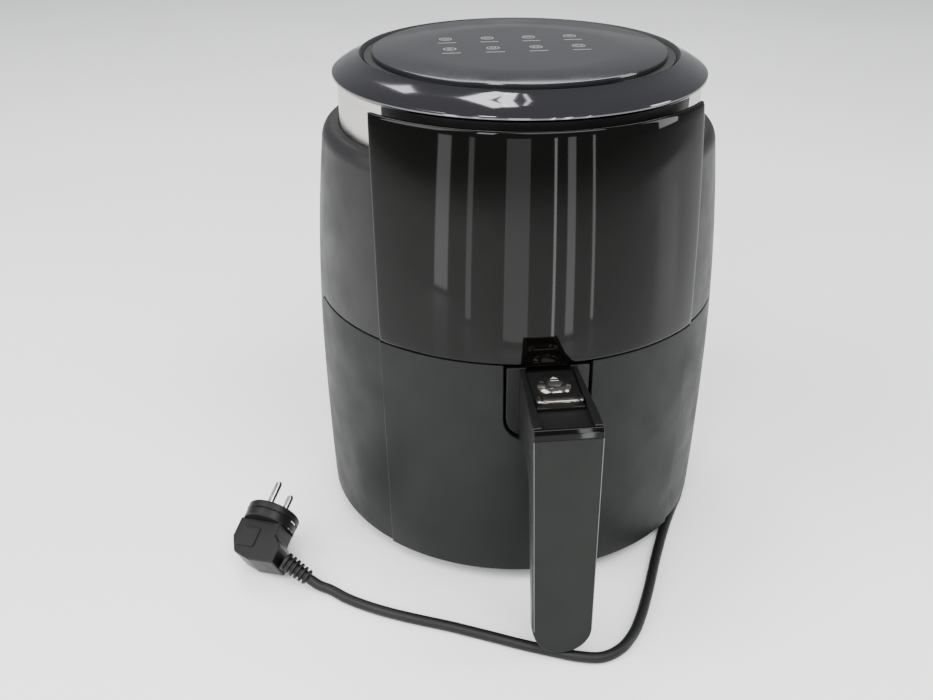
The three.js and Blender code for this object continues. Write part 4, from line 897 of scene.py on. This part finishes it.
class FRYER_OT_handle(Maker, bpy.types.Operator):
    """Handle, bracket, front plate and sliding guard"""

    bl_idname = "fryer.handle"
    bl_label = "Handle"

    def make(self, sizes):
        softened("handle_bracket", "drawer", "black_plastic", sizes.handle_bevel * 0.8)
        softened("handle_shell", "drawer", "black_plastic", sizes.handle_bevel, 3)
        self.plate()
        self.bevel_bar()
        self.guard()
        self.icon()

    def plate_y(self, z):
        (top_y, top_z), (foot_y, foot_z) = HANDLE_TOP, HANDLE_FOOT
        return foot_y + (top_y - foot_y) * (z - foot_z) / (top_z - foot_z)

    def plate(self):
        foot = HANDLE_FOOT_HALF - 0.4
        low = HANDLE_FOOT[1] + 0.4
        top = HANDLE_TOP[1] - 7
        half = HANDLE_FRONT_HALF - 0.4
        bm = bmesh.new()
        closed_face(bm, [(-foot, low, foot * 0.97), (foot, low, foot * 0.97), (half, top, 0.6),
                         (-half, top, 0.6)], 24)
        slice_at(bm, 1, steps(low, top, 10))
        thicken(bm, lambda flat: Vector((flat.x, self.plate_y(flat.y), flat.y)),
                lambda flat: Vector((flat.x, self.plate_y(flat.y) + PLATE_THICK, flat.y)))
        piece("handle_plate_piece", bm, "drawer", "drawer_grey", ("handle_plate",), 0.0006, 3,
              sharp=50, angle=50)
        self.trim(foot, low + foot * 0.97, half, top)

    def trim(self, foot, low, half, top):
        """Thin plated lines along both sides of the handle's front plate."""
        bm = bmesh.new()
        for way in (-1, 1):
            strip = bmesh.new()
            closed_face(strip, [(way * (foot - 0.35), low, 0), (way * (foot + 0.1), low, 0),
                                (way * (half + 0.1), top, 0), (way * (half - 0.35), top, 0)])
            thicken(strip, lambda flat: Vector((flat.x, self.plate_y(flat.y) - 0.12, flat.y)),
                    lambda flat: Vector((flat.x, self.plate_y(flat.y) + 1.2, flat.y)))
            add_to(bm, strip)
        piece("handle_trim_piece", bm, "drawer", "gunmetal_plating")

    def bevel_bar(self):
        low, high = HANDLE_TOP[1] - 6.7, HANDLE_TOP[1] - 0.4
        half = HANDLE_FRONT_HALF - 0.5
        bm = bmesh.new()
        prism(bm, [(self.plate_y(low) - 0.4, low, 0.5), (self.plate_y(low) + PLATE_THICK, low, 0),
                   (self.plate_y(high) + PLATE_THICK, high, 0.3), (self.plate_y(high) + 1, high, 1),
                   (self.plate_y(high) - 0.4, high - 2.6, 1)], -half, half, 5)
        bmesh.ops.transform(bm, matrix=SIDEWAYS, verts=bm.verts)
        piece("handle_bevel_piece", bm, "drawer", "piano_black", ("handle_bevel",), 0.0005, 3, sharp=30)

    def lift(self, y):
        """Height of the handle's channel floor, plus a running gap, at a depth."""
        slope = (RAIL_REAR_Z - HANDLE_TOP[1]) / (BRACKET_FRONT_Y - HANDLE_TOP[0])
        return RAIL_REAR_Z + slope * (y - BRACKET_FRONT_Y) - CHANNEL_DEPTH + 0.3

    def guard(self):
        front, lift = GUARD_FRONT_Y, self.lift
        bm = bmesh.new()
        prism(bm, [(front, lift(front), 0), (-139, lift(-139), 0), (-139, lift(-139) + 1.8, 0.5),
                   (front, lift(front) + 1.8, 0.5)], -14.4, 14.4, 3)
        bmesh.ops.transform(bm, matrix=SIDEWAYS, verts=bm.verts)
        piece("button_guard_piece", bm, "guard", "black_plastic", ("button_guard",), 0.0005, 3,
              sharp=40, angle=50)
        self.thumb_bar(front + 5.2, lift(front + 5) + 3)
        dome = bmesh.new()
        bmesh.ops.create_uvsphere(dome, u_segments=64, v_segments=40, radius=1)
        bmesh.ops.bisect_plane(dome, geom=dome.verts[:] + dome.edges[:] + dome.faces[:], plane_co=(0, 0, 0),
                               plane_no=(0, 0, 1), clear_inner=True)
        rim = [e for e in dome.edges if e.is_boundary]
        bmesh.ops.contextual_create(dome, geom=rim)
        bmesh.ops.scale(dome, verts=dome.verts, vec=DOME_SIZE)
        bmesh.ops.translate(dome, verts=dome.verts, vec=(0, BUTTON_Y, lift(BUTTON_Y) + 1))
        piece("guard_dome_piece", dome, "guard", "smoke_plastic", sharp=40)

    def thumb_bar(self, y, z):
        """The pillow-shaped bar that the thumb slides the guard by."""
        bm = bmesh.new()
        bmesh.ops.create_cube(bm, size=1)
        bmesh.ops.subdivide_edges(bm, edges=bm.edges, cuts=11, use_grid_fill=True)
        for v in bm.verts:
            across, deep, tall = 2 * v.co.x, 2 * v.co.y, 2 * v.co.z
            size = sum(abs(c) ** BAR_POWER for c in (across, deep, tall)) ** (1 / BAR_POWER)
            crown = 1 - 0.16 * (across / size) ** 4
            v.co = Vector((BAR_SIZE[0] * across / size, y + BAR_SIZE[1] * crown * deep / size,
                           z + BAR_SIZE[2] * crown * tall / size))
        piece("guard_bar_piece", bm, "guard", "smoke_plastic", sharp=60)

    def icon(self):
        """A generic open-lock mark on the dome."""
        bm = bmesh.new()
        for corners in ([(-3.2, -2.6, 0.3), (3.2, -2.6, 0.3), (3.2, -1.7, 0.3), (-3.2, -1.7, 0.3)],
                        [(-3, 0.2, 0), (3, 0.2, 0), (0, 3.2, 0)]):
            shape = bmesh.new()
            prism(shape, corners, 0, 0.12, 3)
            add_to(bm, shape)
        bmesh.ops.scale(bm, verts=bm.verts, vec=(0.8, 0.8, 1))
        slice_at(bm, 0, steps(-2.6, 2.6, 0.65))
        base = self.lift(BUTTON_Y) + 1
        for v in bm.verts:
            dome = DOME_SIZE[2] * math.sqrt(1 - (v.co.x / DOME_SIZE[0]) ** 2 - (v.co.y / DOME_SIZE[1]) ** 2)
            v.co = Vector((v.co.x, v.co.y + BUTTON_Y, base + dome - 0.06 + v.co.z))
        piece("guard_icon", bm, "guard", "print")


class FRYER_OT_pan(Maker, bpy.types.Operator):
    """Pan and perforated basket"""

    bl_idname = "fryer.pan"
    bl_label = "Pan and basket"

    def make(self, sizes):
        self.pan()
        self.basket()

    def wall_radius(self, top_r, top_z, low_z, draft, z):
        return top_r - draft * (top_z - z) / (top_z - low_z)

    def pan(self):
        foot = PAN_R - 5
        side = self.wall_radius(PAN_R, PAN_TOP_Z, PAN_BOTTOM_Z, 5, PAN_BOTTOM_Z + 8)
        bend = [(side - 8 + 8 * math.sin(math.radians(a)), PAN_BOTTOM_Z + 8 - 8 * math.cos(math.radians(a)))
                for a in range(0, 91, 10)]
        inside = [(side - 8 + (8 - SHEET) * math.sin(math.radians(a)),
                   PAN_BOTTOM_Z + 8 - (8 - SHEET) * math.cos(math.radians(a))) for a in range(90, -1, -10)]
        bm = bmesh.new()
        spun(bm, [(0, PAN_BOTTOM_Z), (foot * 0.6, PAN_BOTTOM_Z), *bend, (PAN_R, PAN_TOP_Z - SHEET),
                  (PAN_R + 1.4, PAN_TOP_Z - SHEET), (PAN_R + 2, PAN_TOP_Z - 0.6), (PAN_R + 1.4, PAN_TOP_Z),
                  (PAN_R - SHEET, PAN_TOP_Z), *inside, (foot * 0.6, PAN_BOTTOM_Z + SHEET),
                  (0, PAN_BOTTOM_Z + SHEET)], 160)
        place = ON_AXIS @ Matrix.Translation((0, CHAMBER_Y, 0))
        piece("pan_piece", bm, "drawer", "nonstick_coating", ("pan",), place=place, sharp=35)

    def basket(self):
        low = BASKET_R - 6
        bend = [(low - 6 + 6 * math.sin(math.radians(a)), BASKET_BOTTOM_Z + 6 - 6 * math.cos(math.radians(a)))
                for a in range(0, 91, 15)]
        inside = [(low - 6 + (6 - SHEET) * math.sin(math.radians(a)),
                   BASKET_BOTTOM_Z + 6 - (6 - SHEET) * math.cos(math.radians(a))) for a in range(90, -1, -15)]
        bm = bmesh.new()
        spun(bm, [(0, BASKET_BOTTOM_Z), *bend, (BASKET_R, BASKET_TOP_Z - 3),
                  (BASKET_R + 1, BASKET_TOP_Z - 2.4), (BASKET_R + 1, BASKET_TOP_Z - 0.5),
                  (BASKET_R + 0.5, BASKET_TOP_Z),
                  (BASKET_R - SHEET, BASKET_TOP_Z), *inside, (0, BASKET_BOTTOM_Z + SHEET)], 144)
        place = ON_AXIS @ Matrix.Translation((0, CHAMBER_Y, 0))
        made = piece("basket_piece", bm, "drawer", "nonstick_coating", ("basket",), place=place, sharp=35)
        cutter = self.holes(place)
        holes = made.modifiers.new("Holes", "BOOLEAN")
        holes.object = cutter
        holes.operation = "DIFFERENCE"
        holes.solver = "EXACT"
        depsgraph = bpy.context.evaluated_depsgraph_get()
        mesh = bpy.data.meshes.new_from_object(made.evaluated_get(depsgraph))
        made.modifiers.clear()
        made.data = mesh
        mesh.set_sharp_from_angle(angle=math.radians(35))
        bpy.data.objects.remove(cutter)

    def holes(self, place):
        bm = bmesh.new()
        for radius, count in ((0, 1), (21, 6), (42, 12), (63, 18)):
            for i in range(count):
                turn = Matrix.Rotation(2 * math.pi * i / count, 4, "Z")
                self.post(bm, turn @ Matrix.Translation((0, -radius, 30)))
        for i in range(12):
            turn = Matrix.Rotation(math.radians(15 + 30 * i), 4, "Z")
            slot = bmesh.new()
            prism(slot, [(-2, 39, 1.9), (2, 39, 1.9), (2, 65, 1.9), (-2, 65, 1.9)], 80, 110, 5)
            bmesh.ops.transform(slot, matrix=turn @ FRONTWAYS, verts=slot.verts)
            add_to(bm, slot)
        bmesh.ops.transform(bm, matrix=TO_METRES @ place, verts=bm.verts)
        mesh = bpy.data.meshes.new("basket_holes")
        bm.to_mesh(mesh)
        bm.free()
        cutter = bpy.data.objects.new("basket_holes", mesh)
        bpy.context.scene.collection.objects.link(cutter)
        return cutter

    def post(self, bm, place):
        shape = bmesh.new()
        bmesh.ops.create_cone(shape, cap_ends=True, segments=16, radius1=3.6, radius2=3.6, depth=20,
                              matrix=place)
        add_to(bm, shape)


class FRYER_OT_inner(Maker, bpy.types.Operator):
    """Finishes of the CAD pieces that stay as they are"""

    bl_idname = "fryer.inner"
    bl_label = "Inner pieces"

    def make(self, sizes):
        known = finishes()
        for row in frame["record"]["subparts"]:
            node = frame["nodes"][row["node"]]
            node.data.materials.clear()
            node.data.materials.append(known[row["material_slot"]])


class FRYER_PT_panel(bpy.types.Panel):
    """The fryer's pieces, sizes and colours"""

    bl_label = "Air fryer"
    bl_space_type = "VIEW_3D"
    bl_region_type = "UI"
    bl_category = "Air fryer"

    def draw(self, context):
        for maker in MAKERS:
            self.layout.operator(maker.bl_idname)
        for group in (context.scene.fryer_sizes, context.scene.fryer_colours):
            for name in group.__annotations__:
                self.layout.prop(group, name)


MAKERS = [
    FRYER_OT_stage, FRYER_OT_inner, FRYER_OT_cord, FRYER_OT_shell, FRYER_OT_top, FRYER_OT_panel,
    FRYER_OT_drawer, FRYER_OT_handle, FRYER_OT_pan,
]
CLASSES = [FryerSizes, FryerColours, *MAKERS, FRYER_PT_panel]


def register():
    for kind in CLASSES:
        bpy.utils.register_class(kind)
    bpy.types.Scene.fryer_sizes = bpy.props.PointerProperty(type=FryerSizes)
    bpy.types.Scene.fryer_colours = bpy.props.PointerProperty(type=FryerColours)


def unregister():
    del bpy.types.Scene.fryer_colours
    del bpy.types.Scene.fryer_sizes
    for kind in reversed(CLASSES):
        bpy.utils.unregister_class(kind)


def main():
    register()
    for maker in MAKERS:
        group, name = maker.bl_idname.split(".")
        getattr(getattr(bpy.ops, group), name)()


if __name__ == "__main__":
    main()
